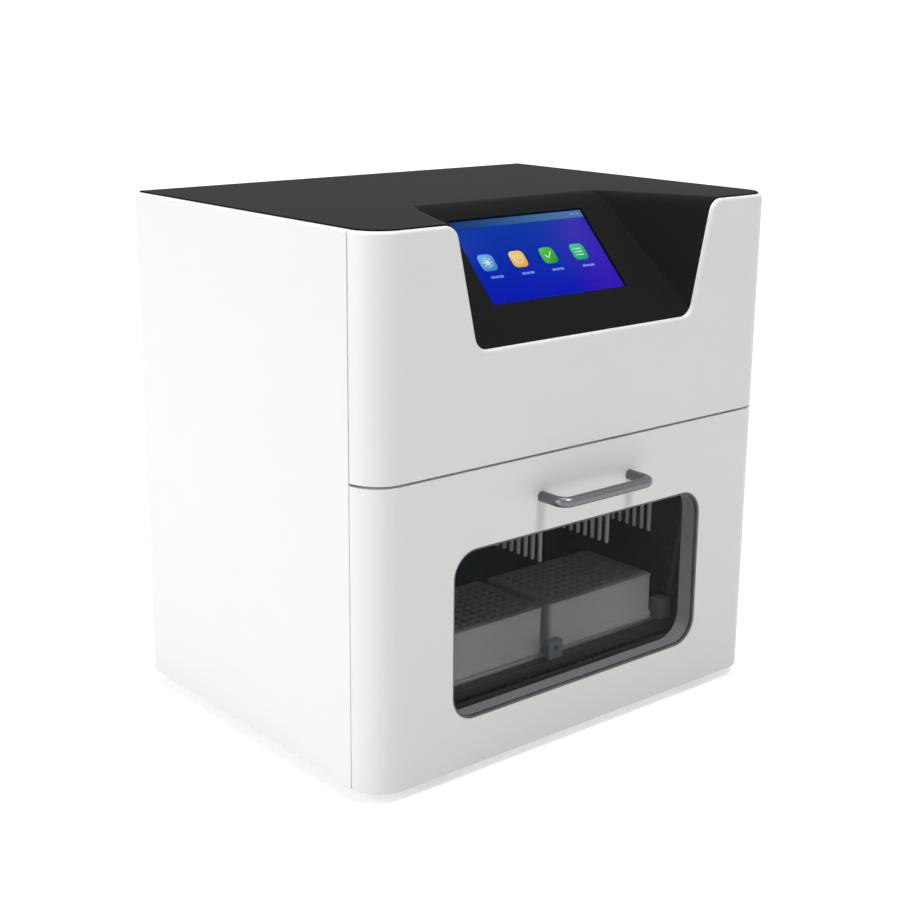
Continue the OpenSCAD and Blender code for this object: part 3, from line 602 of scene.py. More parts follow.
def lifted(flat: np.ndarray, level: float) -> np.ndarray:
    """Points of a flat outline, n by 2, at one level."""
    return np.column_stack([flat, np.full(len(flat), level)])


def stack(rings: list[np.ndarray], closed: bool = False) -> Shape:
    """Skins a pile of rings with equal numbers of points.

    Args:
        rings: each n by 3.
        closed: joins the last ring to the first, and otherwise both ends get a flat cap.

    Returns:
        The points and the face arrays.
    """
    points = np.concatenate(rings)
    n = len(rings[0])
    faces = [grid_faces(len(rings), n, wrap=True)]
    if closed:
        last, first = (len(rings) - 1) * n + np.arange(n), np.arange(n)
        faces.append(np.stack([last, np.roll(last, -1), np.roll(first, -1), first], -1))
    else:
        faces += [np.arange(n)[None, ::-1], (len(rings) - 1) * n + np.arange(n)[None, :]]
    return points, faces


def slab(width: float, height: float, radius: float, low: float, high: float, edge: float,
         middle: tuple[float, float] = (0.0, 0.0), steps: int = 8, arc: int = 3) -> Shape:
    """A plate with round corners and rounded rims, lying in its own plane.

    Each ring is the outline pulled in by edge (1 - cos a) at a height of edge sin a from
    the face, so the rim is a quarter circle.

    Args:
        width: full width.
        height: full height.
        radius: corner radius.
        low: level of the under face.
        high: level of the upper face.
        edge: radius of the rounded rim.
        middle: centre of the outline.
        steps: straight pieces in each corner.
        arc: steps across each rim.

    Returns:
        The points and the face arrays.
    """
    turn = np.linspace(math.pi / 2, 0.0, arc + 1)
    pull = edge * (1 - np.cos(turn))
    level = edge * (1 - np.sin(turn))
    inset = np.concatenate([pull, pull[::-1]])
    heights = np.concatenate([low + level, high - level[::-1]])
    rings = []
    for p, z in zip(inset, heights):
        flat = rounded_outline(width - 2 * p, height - 2 * p, max(radius - p, 0.01), steps)
        rings.append(lifted(flat + np.asarray(middle), z))
    return stack(rings)


def lathe(profile: np.ndarray, segments: int = 32) -> Shape:
    """Turns a profile about the Z axis.

    A point is (r cos t, r sin t, h) for the profile's radius r and height h. Points on
    the axis are merged into a pole afterwards.

    Args:
        profile: radius and height, n by 2, from the lower pole to the upper one.
        segments: steps round the axis.

    Returns:
        The points and the face array.
    """
    turn = np.linspace(0.0, 2 * math.pi, segments, endpoint=False)
    r, h = profile[:, 0][:, None], profile[:, 1][:, None]
    points = np.stack([r * np.cos(turn), r * np.sin(turn), h + 0 * turn], -1).reshape(-1, 3)
    return points, [grid_faces(len(profile), segments, wrap=True)]


def many(shape: Shape, places: np.ndarray) -> Shape:
    """Repeats a shape at several places.

    Args:
        shape: points and face arrays.
        places: shift of each copy, n by 3.

    Returns:
        The points and face arrays of all the copies.
    """
    points, faces = shape
    n, k = len(points), len(places)
    moved = (points[None] + np.asarray(places, float)[:, None]).reshape(-1, 3)
    step = (np.arange(k) * n)[:, None, None]
    return moved, [(f[None] + step).reshape(-1, f.shape[1]) for f in faces]


def joined(*shapes: Shape) -> Shape:
    """Puts several shapes into one set of arrays."""
    points, faces, start = [], [], 0
    for p, fs in shapes:
        points.append(p)
        faces += [f + start for f in fs]
        start += len(p)
    return np.concatenate(points), faces


def sweep(path: np.ndarray, section: np.ndarray, level: tuple[float, float, float]) -> Shape:
    """Carries a closed section along a path that lies in one plane.

    A point is path + section x (level cross tangent) + section y level, with the tangent
    from central differences.

    Args:
        path: n by 3.
        section: m by 2.
        level: unit normal of the path's plane.

    Returns:
        The points and the face arrays, with both ends capped.
    """
    tangent = np.gradient(path, axis=0)
    tangent /= np.linalg.norm(tangent, axis=1, keepdims=True)
    side = np.cross(np.asarray(level, float), tangent)
    across, along = section[None, :, :1] * side[:, None], section[None, :, 1:] * np.asarray(level, float)
    return stack(list(path[:, None] + across + along))


def screw_head(radius: float, height: float, socket: float = 0.5) -> Shape:
    """A pan-head screw with a hexagon socket, its seat at level 0.

    The rim is a quarter ellipse; the socket's ring has the radius of a hexagon,
    apothem / cos of the angle from the nearest flat's middle.

    Args:
        radius: head radius.
        height: head height.
        socket: socket's half width over flats, as a share of the radius.

    Returns:
        The points and the face arrays.
    """
    turn = np.linspace(0.0, 2 * math.pi, 36, endpoint=False)
    hexagon = socket * radius / np.cos((turn + math.pi / 6) % (math.pi / 3) - math.pi / 6)
    rim = np.linspace(0.0, math.pi / 2, 6)
    rings = [(0.0 * turn + radius * c, height * s) for c, s in zip(0.75 + 0.25 * np.cos(rim), np.sin(rim))]
    hollow = ((1.08, 1.0), (1.0, 0.93), (1.0, 0.35), (0.05, 0.3))
    rings += [(hexagon * wide, height * tall) for wide, tall in hollow]
    return stack([lifted(np.stack([r * np.cos(turn), r * np.sin(turn)], -1), h) for r, h in rings])


# ---------------------------------------------------------------- casing


@dataclass
class Casing:
    """White panels and mouldings, base, feet and the rear's screws."""

    half_width: float = 220.0
    front: float = -150.0
    rear: float = 178.0
    low: float = 10.0
    rim: float = 444.0
    seam: float = 256.7
    corner: float = 28.0
    foot_top: float = 16.0
    foot_low: float = 13.0
    foot_x: float = 165.0
    foot_y: tuple[float, float] = (-95.0, 123.0)
    screw_x: float = 202.0
    screw_z: tuple[float, ...] = (30.0, 227.0, 414.0)

    def on_side(self, points: np.ndarray) -> np.ndarray:
        """Tells whether points lie on the upper or rear edge of a side panel's outer face."""
        edge = (points[:, 2] > self.rim - 0.05) | (points[:, 1] > self.rear - 0.05)
        return (np.abs(points[:, 0]) > self.half_width - 0.05) & edge

    def on_face(self, points: np.ndarray) -> np.ndarray:
        """Tells whether points lie on the front cover's outer face, well above the seam.

        The face is y = front, and hypot(|x| - c, y - front - r) = r at the round corners with
        c = half width - r.
        """
        x = np.maximum(np.abs(points[:, 0]) - self.half_width + self.corner, 0.0)
        y = np.minimum(points[:, 1] - self.front - self.corner, 0.0)
        return (np.hypot(x, y) > self.corner - 0.15) & (points[:, 2] > self.seam + 30.0)

    def panels(self) -> None:
        """Dresses the sheet panels and front mouldings with broken edges."""
        for node in ("left_side_panel", "right_side_panel"):
            softened(node, Palette.PANEL, Body.HOUSING, width=2.2, segments=4, broad=self.on_side, share=0.2)
        finish_nodes(Palette.PANEL, "rear_panel")
        softened("front_cover", Palette.SHELL, Body.HOUSING, width=3.2, segments=6, broad=self.on_face,
                 share=0.13)

    def feet(self) -> None:
        """Turned rubber feet: a flared ring with a groove, a rounded tread and a screw hollow."""
        r0, r1, h = self.foot_low, self.foot_top, self.low
        profile = np.array([(0, 6.0), (4.0, 6.0), (4.0, 1.2), (4.9, 0.2), (6.0, 0.0), (r0 - 2.2, 0.0),
                            (r0 - 0.9, 0.3), (r0 - 0.1, 1.1), (r0 + 0.6, 2.8), (r0 + 0.2, 3.3),
                            (r0 + 0.3, 3.9), (r0 + 1.2, 4.6), (r1 - 0.9, 7.4), (r1 - 0.1, 9.0),
                            (r1 - 0.3, 9.7), (r1 - 1.2, h), (0, h)], float)
        places = np.array([(s * self.foot_x, y, 0.0) for s in (-1, 1) for y in self.foot_y])
        points, faces = many(lathe(profile, 48), places)
        made = piece("turned_feet", points, faces, Palette.RUBBER, Body.HOUSING, crease=32.0)
        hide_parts("rubber_feet")

    def screws(self) -> None:
        """Pan-head screws of the rear panel, their heads facing backwards."""
        places = np.array([(s * self.screw_x, z, self.rear) for s in (-1, 1) for z in self.screw_z])
        points, faces = many(screw_head(radius=4.0, height=2.0), places)
        made = piece("rear_pan_screws", FACING_REAR.set_down(points), faces, Palette.POLISHED, Body.HOUSING,
                     crease=30.0)
        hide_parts("rear_screws")

    def build(self) -> None:
        """Builds and dresses the casing."""
        self.panels()
        self.feet()
        self.screws()
        finish_nodes(Palette.STEEL, "base_plate", "front_bulkhead")
        finish_nodes(Palette.RUBBER, "door_seal")


# ---------------------------------------------------------------- console


@dataclass
class Console:
    """Black top moulding with the sunk console, and the display under its glass.

    The slope rises from the notch's lower edge to the top. Each row across it is flat top,
    round shoulder, leaning cheek, round hollow and slope, and the other side mirrored. The
    pairs from glass to mark are the levels of the display's layers below the slope.
    """

    slope_y: float = -146.3
    notch_z: float = 348.0
    rise: float = 96.0
    run: float = 92.5
    top: float = 445.2
    low_half: float = 118.0
    rim_half: float = 140.0
    back_half: float = 100.0
    wall: float = 3.0
    rear_edge: float = 175.7
    side_edge: float = 215.6
    corner: float = 24.2
    corner_y: float = -122.0
    shoulder: tuple[float, float] = (13.0, 9.0)
    hollow: tuple[float, float] = (13.0, 4.0)
    fold: float = 9.0
    screen: tuple[float, float, float, float] = (-78.0, 70.0, 37.0, 119.0)
    tiles: tuple[float, ...] = (-59.0, -26.0, 7.1, 41.8)
    tile_v: float = 77.3
    tile_size: float = 15.8
    slope_rows: tuple[float, float, int] = (3.0, 86.0, 30)
    fold_rows: tuple[float, float, int] = (88.0, 106.0, 16)
    glass: tuple[float, float] = (-1.5, -0.8)
    picture: tuple[float, float] = (-2.9, -2.3)
    status: tuple[float, float] = (-2.35, -2.2)
    tile: tuple[float, float] = (-2.35, -2.15)
    caption: tuple[float, float] = (-2.35, -2.18)
    clock: tuple[float, float] = (-2.22, -2.12)
    mark: tuple[float, float] = (-2.2, -2.02)

    def slope_angle(self) -> float:
        """Angle of the slope above the horizontal, in radians."""
        return math.atan2(self.rise, self.run)

    def floor(self, t: np.ndarray) -> np.ndarray:
        """Level of the slope's floor t behind its front edge.

        The smooth minimum of the slope and the top: min(a, b) - k h h / 4 with
        h = max(k - |a - b|, 0) / k.
        """
        ramp = self.notch_z + t * self.rise / self.run
        h = np.maximum(self.fold - np.abs(ramp - self.top), 0.0) / self.fold
        return np.minimum(ramp, self.top) - self.fold * h * h / 4

    def section(self, t: np.ndarray) -> tuple[np.ndarray, np.ndarray]:
        """Right half of the rows across the console, from the slope's foot outwards.

        The hollow is an arc of radius r2 tangent to floor and cheek, the shoulder one of
        radius r1 tangent to cheek and top; both shrink where the cheek is too short. The
        levels are then scaled to the height left between floor and top.

        Args:
            t: distance of each row behind the slope's front edge.

        Returns:
            X and level of each row's points, both rows by points.
        """
        lean = (self.rim_half - self.low_half) / self.rise
        phi = math.atan2(1.0, lean)
        floor = self.floor(t)[:, None]
        height = self.top - floor
        tall = np.maximum(height, 5.0)
        taper = (self.back_half - self.rim_half) / self.run
        foot = self.low_half + lean * (floor - self.notch_z) + taper * np.minimum(t, self.run + 4)[:, None]
        mellow = np.clip(t / 55.0, 0.0, 1.0)[:, None]
        r1 = self.shoulder[0] + (self.shoulder[1] - self.shoulder[0]) * mellow
        r2 = self.hollow[0] + (self.hollow[1] - self.hollow[0]) * mellow
        reach = math.tan(phi / 2)
        fit = np.minimum(1.0, 0.96 * tall / math.sin(phi) / ((r1 + r2) * reach))
        r1, r2 = r1 * fit, r2 * fit
        brow = foot + tall / math.tan(phi)
        a = np.linspace(0.0, phi, 8)[None]
        hollow, shoulder = foot - r2 * reach + r2 * np.sin(a), brow + r1 * reach - r1 * np.sin(a)
        x = np.concatenate([hollow, shoulder[:, ::-1]], 1)
        z = np.concatenate([r2 * (1 - np.cos(a)), (tall - r1 * (1 - np.cos(a)))[:, ::-1]], 1)
        return x, floor + z * height / tall

    def moulding(self) -> None:
        """The top moulding as one skin with the screen's opening left out of it."""
        left, right, v0, v1 = self.screen
        cos = math.cos(self.slope_angle())
        depth = self.rear_edge - self.slope_y
        t = np.concatenate([[0.0, v0 * cos, v1 * cos], np.linspace(*self.slope_rows),
                            np.linspace(*self.fold_rows), np.linspace(112.0, depth, 9)])
        t = np.unique(np.round(t, 4))
        y = self.slope_y + t
        x, z = self.section(t)
        back = np.clip(self.corner ** 2 - np.minimum(y - self.corner_y, 0.0) ** 2, 0.0, None)
        edge = (self.side_edge - self.corner + np.sqrt(back))[:, None]
        share = np.linspace(0.0, 1.0, 8)[None, 1:]
        outer_x = x[:, -1:] + (edge - x[:, -1:]) * share
        outer_z = self.top + 0 * outer_x
        half_x = np.concatenate([x, outer_x], 1)
        half_z = np.concatenate([z, outer_z], 1)
        floor = self.floor(t)[:, None]
        inner = np.concatenate([left + 0 * floor, 0.5 * (left + right) + 0 * floor, right + 0 * floor], 1)
        gap_l, gap_r = 0.5 * (left - x[:, :1]), 0.5 * (right + x[:, :1])
        row_x = np.concatenate([-half_x[:, ::-1], gap_l, inner, gap_r, half_x], 1)
        row_z = np.concatenate([half_z[:, ::-1], np.repeat(floor, 5, 1), half_z], 1)
        rows, columns = row_x.shape
        points = np.stack([row_x, np.repeat(y[:, None], columns, 1), row_z], -1).reshape(-1, 3)
        quads = grid_faces(rows, columns)
        first = half_x.shape[1] + 1
        row, column = quads[:, 0] // columns, quads[:, 0] % columns
        middle = t[row] + 0.01
        hole = (middle > v0 * cos) & (middle < v1 * cos) & (column >= first) & (column < first + 2)
        made = piece("console_moulding", points, [quads[~hole]], Palette.COVER, Body.HOUSING, crease=60.0)
        wall = made.modifiers.new("wall", "SOLIDIFY")
        wall.thickness = self.wall * MM
        wall.offset = -1.0
        wall.use_even_offset = True
        wall.use_quality_normals = True
        round_edges(made, 0.7, 3, 50.0)
        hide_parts("top_cover")

    def on_slope(self) -> Seat:
        """Seat on the slope: right along X, up along the slope, out of it."""
        a = self.slope_angle()
        return Seat((0.0, self.slope_y, self.notch_z), up=(0.0, math.cos(a), math.sin(a)))

    def flat(self, name: str, shape: Shape, finish: Finish) -> bpy.types.Object:
        """A flat patch of the display, with its own UV map over its bounds."""
        points, faces = shape
        low, high = points[:, :2].min(0), points[:, :2].max(0)
        uv = (points[:, :2] - low) / (high - low)
        return piece(name, self.on_slope().set_down(points), faces, finish, Body.HOUSING, crease=60.0, uv=uv)

    def display(self) -> None:
        """The lit picture: desktop, status bar, four tiles with plain marks and caption bars."""
        left, right, v0, v1 = self.screen
        w, h, mid = right - left, v1 - v0, (0.5 * (left + right), 0.5 * (v0 + v1))
        glass = self.flat("cover_glass", slab(w - 0.5, h - 0.5, 0.6, *self.glass, 0.25, mid), Palette.GLASS)
        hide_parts("touch_glass")
        self.flat("desktop", slab(w - 0.8, h - 0.8, 0.5, *self.picture, 0.05, mid, 3, 1), Palette.DESKTOP)
        bar = slab(w - 0.9, 7.0, 0.3, *self.status, 0.02, (mid[0], v1 - 4.2), 2, 1)
        self.flat("status_strip", bar, Palette.STATUS)
        finishes = (Palette.TILE_BLUE, Palette.TILE_AMBER, Palette.TILE_GREEN, Palette.TILE_TEAL)
        for number, (u, finish) in enumerate(zip(self.tiles, finishes)):
            tile = slab(self.tile_size, self.tile_size, 4.4, *self.tile, 0.03, (u, self.tile_v), 8, 1)
            self.flat(f"tile_{number}", tile, finish)
        self.flat("tile_marks", joined(*self.marks()), Palette.GLYPH)
        bars = [slab(width, 2.2, 0.5, *self.caption, 0.02, (u + shift, self.tile_v - 14.2), 2, 1)
                for u in self.tiles for width, shift in ((4.0, -2.3), (3.4, 2.0), (4.4, 6.5))]
        small = [slab(width, 1.2, 0.4, *self.clock, 0.02, (u, v1 - 4.2), 2, 1)
                 for u, width in ((right - 12.0, 5.0), (right - 6.0, 3.4))]
        self.flat("caption_bars", joined(*bars, *small), Palette.CAPTION)

    def marks(self) -> list[Shape]:
        """Plain marks of the tiles: a round dial, a clock face, a tick and a list."""
        low, high = self.mark
        u0, u1, u2, u3 = self.tiles
        v = self.tile_v
        dial = [slab(5.2, 5.2, 2.55, low, high, 0.02, (u0, v), 6, 1)]
        dial += [slab(1.5, 1.5, 0.4, low, high, 0.02, (u0 + 4.3 * math.cos(a), v + 4.3 * math.sin(a)), 2, 1)
                 for a in np.arange(8) * math.pi / 4]
        clock = [self.ring(u1, v, 4.6, 3.5, low, high),
                 slab(0.9, 3.0, 0.3, low, high, 0.02, (u1, v + 1.1), 2, 1),
                 slab(2.6, 0.9, 0.3, low, high, 0.02, (u1 + 0.9, v), 2, 1)]
        tick = [self.stroke(u2 - 3.4, v + 0.4, u2 - 1.0, v - 2.4, low, high),
                self.stroke(u2 - 1.0, v - 2.4, u2 + 3.8, v + 3.2, low, high)]
        rows = [slab(6.6, 1.1, 0.4, low, high, 0.02, (u3 + 0.6, v + k), 2, 1) for k in (3.0, 0.0, -3.0)]
        rows += [slab(1.2, 1.1, 0.4, low, high, 0.02, (u3 - 4.2, v + k), 2, 1) for k in (3.0, 0.0, -3.0)]
        return dial + clock + tick + rows

    @staticmethod
    def ring(u: float, v: float, outer: float, inner: float, low: float, high: float) -> Shape:
        """A flat ring: the closed profile inner-outer by low-high turned about its middle."""
        profile = np.array([(inner, low), (outer, low), (outer, high), (inner, high), (inner, low)])
        points, faces = lathe(profile, 32)
        return points + np.array([u, v, 0.0]), faces

    @staticmethod
    def stroke(u0: float, v0: float, u1: float, v1: float, low: float, high: float) -> Shape:
        """A straight stroke with round ends between two points of the slope."""
        points, faces = slab(math.hypot(u1 - u0, v1 - v0) + 1.1, 1.1, 0.5, low, high, 0.02, steps=4, arc=1)
        a = math.atan2(v1 - v0, u1 - u0)
        turned = points @ np.array([[math.cos(a), math.sin(a), 0], [-math.sin(a), math.cos(a), 0], [0, 0, 1]])
        return turned + np.array([(u0 + u1) / 2, (v0 + v1) / 2, 0.0]), faces

    def build(self) -> None:
        """Builds the moulding and the display."""
        self.moulding()
        self.display()
        finish_nodes(Palette.LCD, "lcd_panel")
        finish_nodes(Palette.STEEL, "display_bracket")


# ---------------------------------------------------------------- door


@dataclass
class Door:
    """Drop-down door: white moulding, grey liner, smoked window and bar handle."""

    front: float = -150.0
    wall: float = 3.5
    window: tuple[float, float] = (282.0, 142.5)
    window_z: float = 121.75
    window_r: float = 23.0
    handle_z: float = 222.0
    handle_half: float = 50.0
    handle_y: float = -175.6
    handle_r: float = 4.4
    bend: float = 9.0

    def ring(self, grow: float, y: float, steps: int = 12) -> np.ndarray:
        """The window's outline grown by grow, at the depth y."""
        width, height = self.window
        flat = rounded_outline(width + 2 * grow, height + 2 * grow, self.window_r + grow, steps)
        return np.column_stack([flat[:, 0], np.full(len(flat), y), flat[:, 1] + self.window_z])

    def pane(self) -> None:
        """Smoked pane with polished edges, let into the moulding behind its front face."""
        y0, y1 = self.front + 0.5, self.front + self.wall
        rings = [self.ring(g, y) for g, y in ((-2.5, y0), (-2.2, y0 + 0.1), (-2.05, y0 + 0.4),
                                              (-2.05, y1 - 0.4), (-2.2, y1 - 0.1), (-2.5, y1))]
        points, faces = stack(rings)
        made = piece("smoked_window", points, faces, Palette.PANE, Body.DOOR)
        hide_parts("door_window")

    def gasket(self) -> None:
        """Rubber bead between pane and moulding, its front a half round."""
        y0, y1 = self.front + 0.2, self.front + self.wall
        turn = np.linspace(0.0, math.pi, 7)
        rings = [self.ring(-1.0 + 1.0 * math.cos(a), y0 + 1.0 - 1.0 * math.sin(a)) for a in turn]
        rings += [self.ring(-2.0, y1), self.ring(0.0, y1)]
        points, faces = stack(rings, closed=True)
        made = piece("window_bead", points, faces, Palette.BEAD, Body.DOOR, crease=50.0)
        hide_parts("window_gasket")

    def handle(self) -> None:
        """Bent round bar: two legs, two quarter bends and the grip."""
        r, x, y = self.bend, self.handle_half, self.handle_y
        turn = np.linspace(0.0, math.pi / 2, 13)
        leg = np.column_stack([np.full(4, x), np.linspace(self.front, y + r, 4)])
        bend = np.column_stack([x - r + r * np.cos(turn), y + r - r * np.sin(turn)])
        half = np.concatenate([leg[:-1], bend])
        grip = np.column_stack([np.linspace(x - r, r - x, 9)[1:-1], np.full(7, y)])
        flat = np.concatenate([half, grip, half[::-1] * np.array([-1.0, 1.0])])
        path = lifted(flat, self.handle_z)
        ring = np.linspace(0.0, 2 * math.pi, 28, endpoint=False)
        section = self.handle_r * np.stack([np.cos(ring), np.sin(ring)], -1)
        points, faces = sweep(path, section, (0.0, 0.0, 1.0))
        made = piece("bar_handle", points, faces, Palette.HANDLE, Body.DOOR, crease=40.0)
        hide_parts("door_handle")

    def build(self) -> None:
        """Builds and dresses the door."""
        softened("door_shell", Palette.SHELL, Body.DOOR, width=0.5, segments=3, angle=50.0)
        softened("door_liner", Palette.LINER, Body.DOOR, width=0.5)
        self.pane()
        self.gasket()
        self.handle()
        finish_nodes(Palette.POLISHED, "handle_screws")
        finish_nodes(Palette.STEEL, "strut_bracket", "hinge_knuckles", "hinge_brackets")
        finish_nodes(Palette.POLISHED, "hinge_pins")
        finish_nodes(Palette.ALLOY, "catch_magnets")
        softened("strut_tube", Palette.BLACK_METAL, Body.STRUT_CYLINDER, width=0.3)
        softened("strut_rod", Palette.POLISHED, Body.STRUT_PISTON, width=0.25)


# ---------------------------------------------------------------- chamber


@dataclass
class WellPlates:
    """Two deep-well plates of 12 by 8 square wells."""

    columns: int = 12
    rows: int = 8
    arc: int = 4
    corner_r: float = 3.2
    length: float = 127.76
    width: float = 85.48
    low: float = 60.4
    top: float = 104.4
    front: float = -108.0
    middle_x: float = 67.5
    pitch: float = 9.0
    well: float = 8.2
    well_r: float = 1.5
    skirt: float = 8.0
    inset: float = 1.2
    floor: float = 63.0

    def cell(self) -> np.ndarray:
        """The square cell round a well, with a point in each direction of the well's outline."""
        outline = rounded_outline(self.well, self.well, self.well_r, self.arc)
        return outline / np.abs(outline).max(1, keepdims=True) * self.pitch / 2

    def middles(self) -> tuple[np.ndarray, np.ndarray]:
        """The wells' middles along X and along Y."""
        x, y = ((np.arange(n) - (n - 1) / 2) * self.pitch for n in (self.columns, self.rows))
        return x, y

    def outline(self, pull: float) -> np.ndarray:
        """The plate's outline pulled in by `pull`, with a point in line with each of the cells' points.

        Its four arcs of five points come anticlockwise from the +X +Y corner; the straight
        sides between them take the cells' coordinates, falling on the first two sides.
        """
        whole = rounded_outline(self.length - 2 * pull, self.width - 2 * pull, self.corner_r, self.arc)
        arcs = whole.reshape(4, self.arc + 1, 2)
        cell = self.cell()
        steps = cell[np.isclose(cell[:, 0], self.pitch / 2), 1]
        points = []
        for corner, arc in enumerate(arcs):
            lines = self.middles()[corner % 2]
            along = np.unique(np.round(np.add.outer(lines, steps), 6))[1:-1]
            across = arc[-1, 1 - corner % 2]
            along = along[::-1] if corner < 2 else along
            side = np.stack([along, np.full(len(along), across)], -1)
            points += [arc, side if corner % 2 == 0 else side[:, ::-1]]
        return np.concatenate(points)

    def well_shape(self) -> Shape:
        """One well about its own middle: the 9 mm cell of the top, a rounded lip and the hollow.

        Every ring has 20 points at the same directions. The cell's ring lies on the square
        max(|x|, |y|) = 4.5 and meets its corners, the others on squares with round corners;
        the foot is a rounded pyramid.
        """
        outline = rounded_outline(self.well, self.well, self.well_r, self.arc)
        cell = self.cell()
        foot = self.floor - self.top
        rings = [(cell, 0.0), (outline * 1.05, 0.0), (outline * 1.0, -0.4), (outline * 0.97, foot + 5),
                 (outline * 0.55, foot + 1.2), (outline * 0.05, foot)]
        points = np.concatenate([lifted(flat, z) for flat, z in rings])
        n = len(outline)
        faces = [grid_faces(len(rings), n, wrap=True), (len(rings) - 1) * n + np.arange(n)[None, :]]
        return points, faces

    def walls(self) -> Shape:
        """The plate's outside: skirt, step and straight wall up to the rounded rim, and the underside."""
        skirt, inset, height = self.skirt, self.inset, self.top - self.low
        base = [(0.35, 0.0), (0.0, 0.35), (0.0, skirt - 0.5), (0.35, skirt), (inset - 0.2, skirt + 0.1),
                (inset, skirt + 0.5), (inset, height - 1.8), (inset - 0.5, height - 1.5),
                (inset - 0.5, height - 0.4), (inset - 0.1, height)]
        rings = [lifted(self.outline(pull), self.low + z) for pull, z in base]
        n = len(rings[0])
        return np.concatenate(rings), [grid_faces(len(rings), n, wrap=True), np.arange(n)[None, ::-1]]

    def border(self) -> Shape:
        """The flat strip between the block of wells and the plate's rim."""
        outer = self.outline(self.inset - 0.1)
        half = np.array([self.columns, self.rows]) * self.pitch / 2
        inner = np.clip(outer, -half, half)
        return lifted(np.concatenate([outer, inner]), self.top), [grid_faces(2, len(outer), wrap=True)]

    def plate(self, side: int, node: str) -> None:
        """Builds one plate on its side of the middle."""
        mid = np.array([side * self.middle_x, self.front + self.width / 2, 0.0])
        x, y = np.meshgrid(*self.middles())
        places = lifted(np.stack([x.ravel(), y.ravel()], -1), self.top)
        points, faces = joined(self.walls(), self.border(), many(self.well_shape(), places))
        made = piece(node + "_moulded", points + mid, faces, Palette.PLATE, Body.HOUSING, crease=38.0)
        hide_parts(node)

    def build(self) -> None:
        """Builds both plates."""
        self.plate(-1, "left_well_plate")
        self.plate(1, "right_well_plate")


@dataclass
class Chamber:
    """Dark chamber with the plate carrier, its stops, the lamp and the heating block."""

    lamp_y: float = 36.0
    lamp_z: float = 206.0
    lamp_half: float = 145.0
    lip_half: tuple[float, float] = (135.08, 46.44)
    lip_y: float = -65.26
    lip_low: float = 60.4

    def lamp(self) -> None:
        """Lamp tube with a rounded cap at each end, and the two holders."""
        length = 2 * self.lamp_half
        cap = np.array([(0.0, 0.0), (4.0, 0.0), (6.6, 0.5), (7.4, 1.6), (7.5, 3.0), (7.5, 12.0), (7.1, 12.6)])
        tube = np.concatenate([cap, [(7.1, 20.0), (7.1, length - 20.0)], (cap * [1, -1] + [0, length])[::-1]])
        points, faces = lathe(tube, 28)
        placed = points[:, [2, 0, 1]] + [-self.lamp_half, self.lamp_y, self.lamp_z]
        block, sides = slab(21.0, 22.0, 2.0, 0.0, 15.0, 0.8)
        block = block[:, [2, 0, 1]] + [self.lamp_half, self.lamp_y + 2.5, self.lamp_z + 1.0]
        shifted = [(block * [side, 1.0, 1.0], sides) for side in (-1, 1)]
        made = piece("lamp_tube", placed, faces, Palette.LAMP, Body.HOUSING, crease=30.0)
        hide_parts("uv_lamp")
        piece("lamp_holders", *joined(*shifted), Palette.BLACK, Body.HOUSING, crease=30.0)

    def lip(self) -> None:
        """Bright raised lip round the plates: a frame with a rounded top edge."""
        half_x, half_y = self.lip_half
        profile = ((0.05, 0.0), (0.05, 2.6), (-0.4, 3.05), (-3.0, 3.05), (-3.3, 2.7), (-3.3, 0.0))
        rings = []
        for grow, rise in profile:
            flat = rounded_outline(2 * (half_x + grow), 2 * (half_y + grow), 0.8, 3)
            rings.append(lifted(flat + [0.0, self.lip_y], self.lip_low + rise))
        points, faces = stack(rings, closed=True)
        made = piece("carrier_lip", points, faces, Palette.ALLOY, Body.HOUSING, crease=30.0)
        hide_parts("plate_carrier")

    def build(self) -> None:
        """Builds and dresses the chamber."""
        finish_nodes(Palette.CHAMBER, "chamber_left_wall", "chamber_right_wall", "chamber_floor")
        finish_nodes(Palette.CHAMBER_BACK, "chamber_back_wall")
        # The carrier takes the darkened alloy, painted shade for the dark band under the plates.
        softened("plate_carrier", Palette.SHADED_ALLOY, Body.HOUSING, width=0.5)
        self.lip()
        # Painted shade: the heater block's fins are darkened so they sink into the shade below the deck.
        finish_nodes(Palette.SHADED_ALLOY, "heater_block")
        softened("back_post", Palette.ALLOY, Body.HOUSING, width=0.8)
        softened("plate_stops", Palette.STOP, Body.HOUSING, width=0.8)
        self.lamp()
        WellPlates().build()


# ---------------------------------------------------------------- head


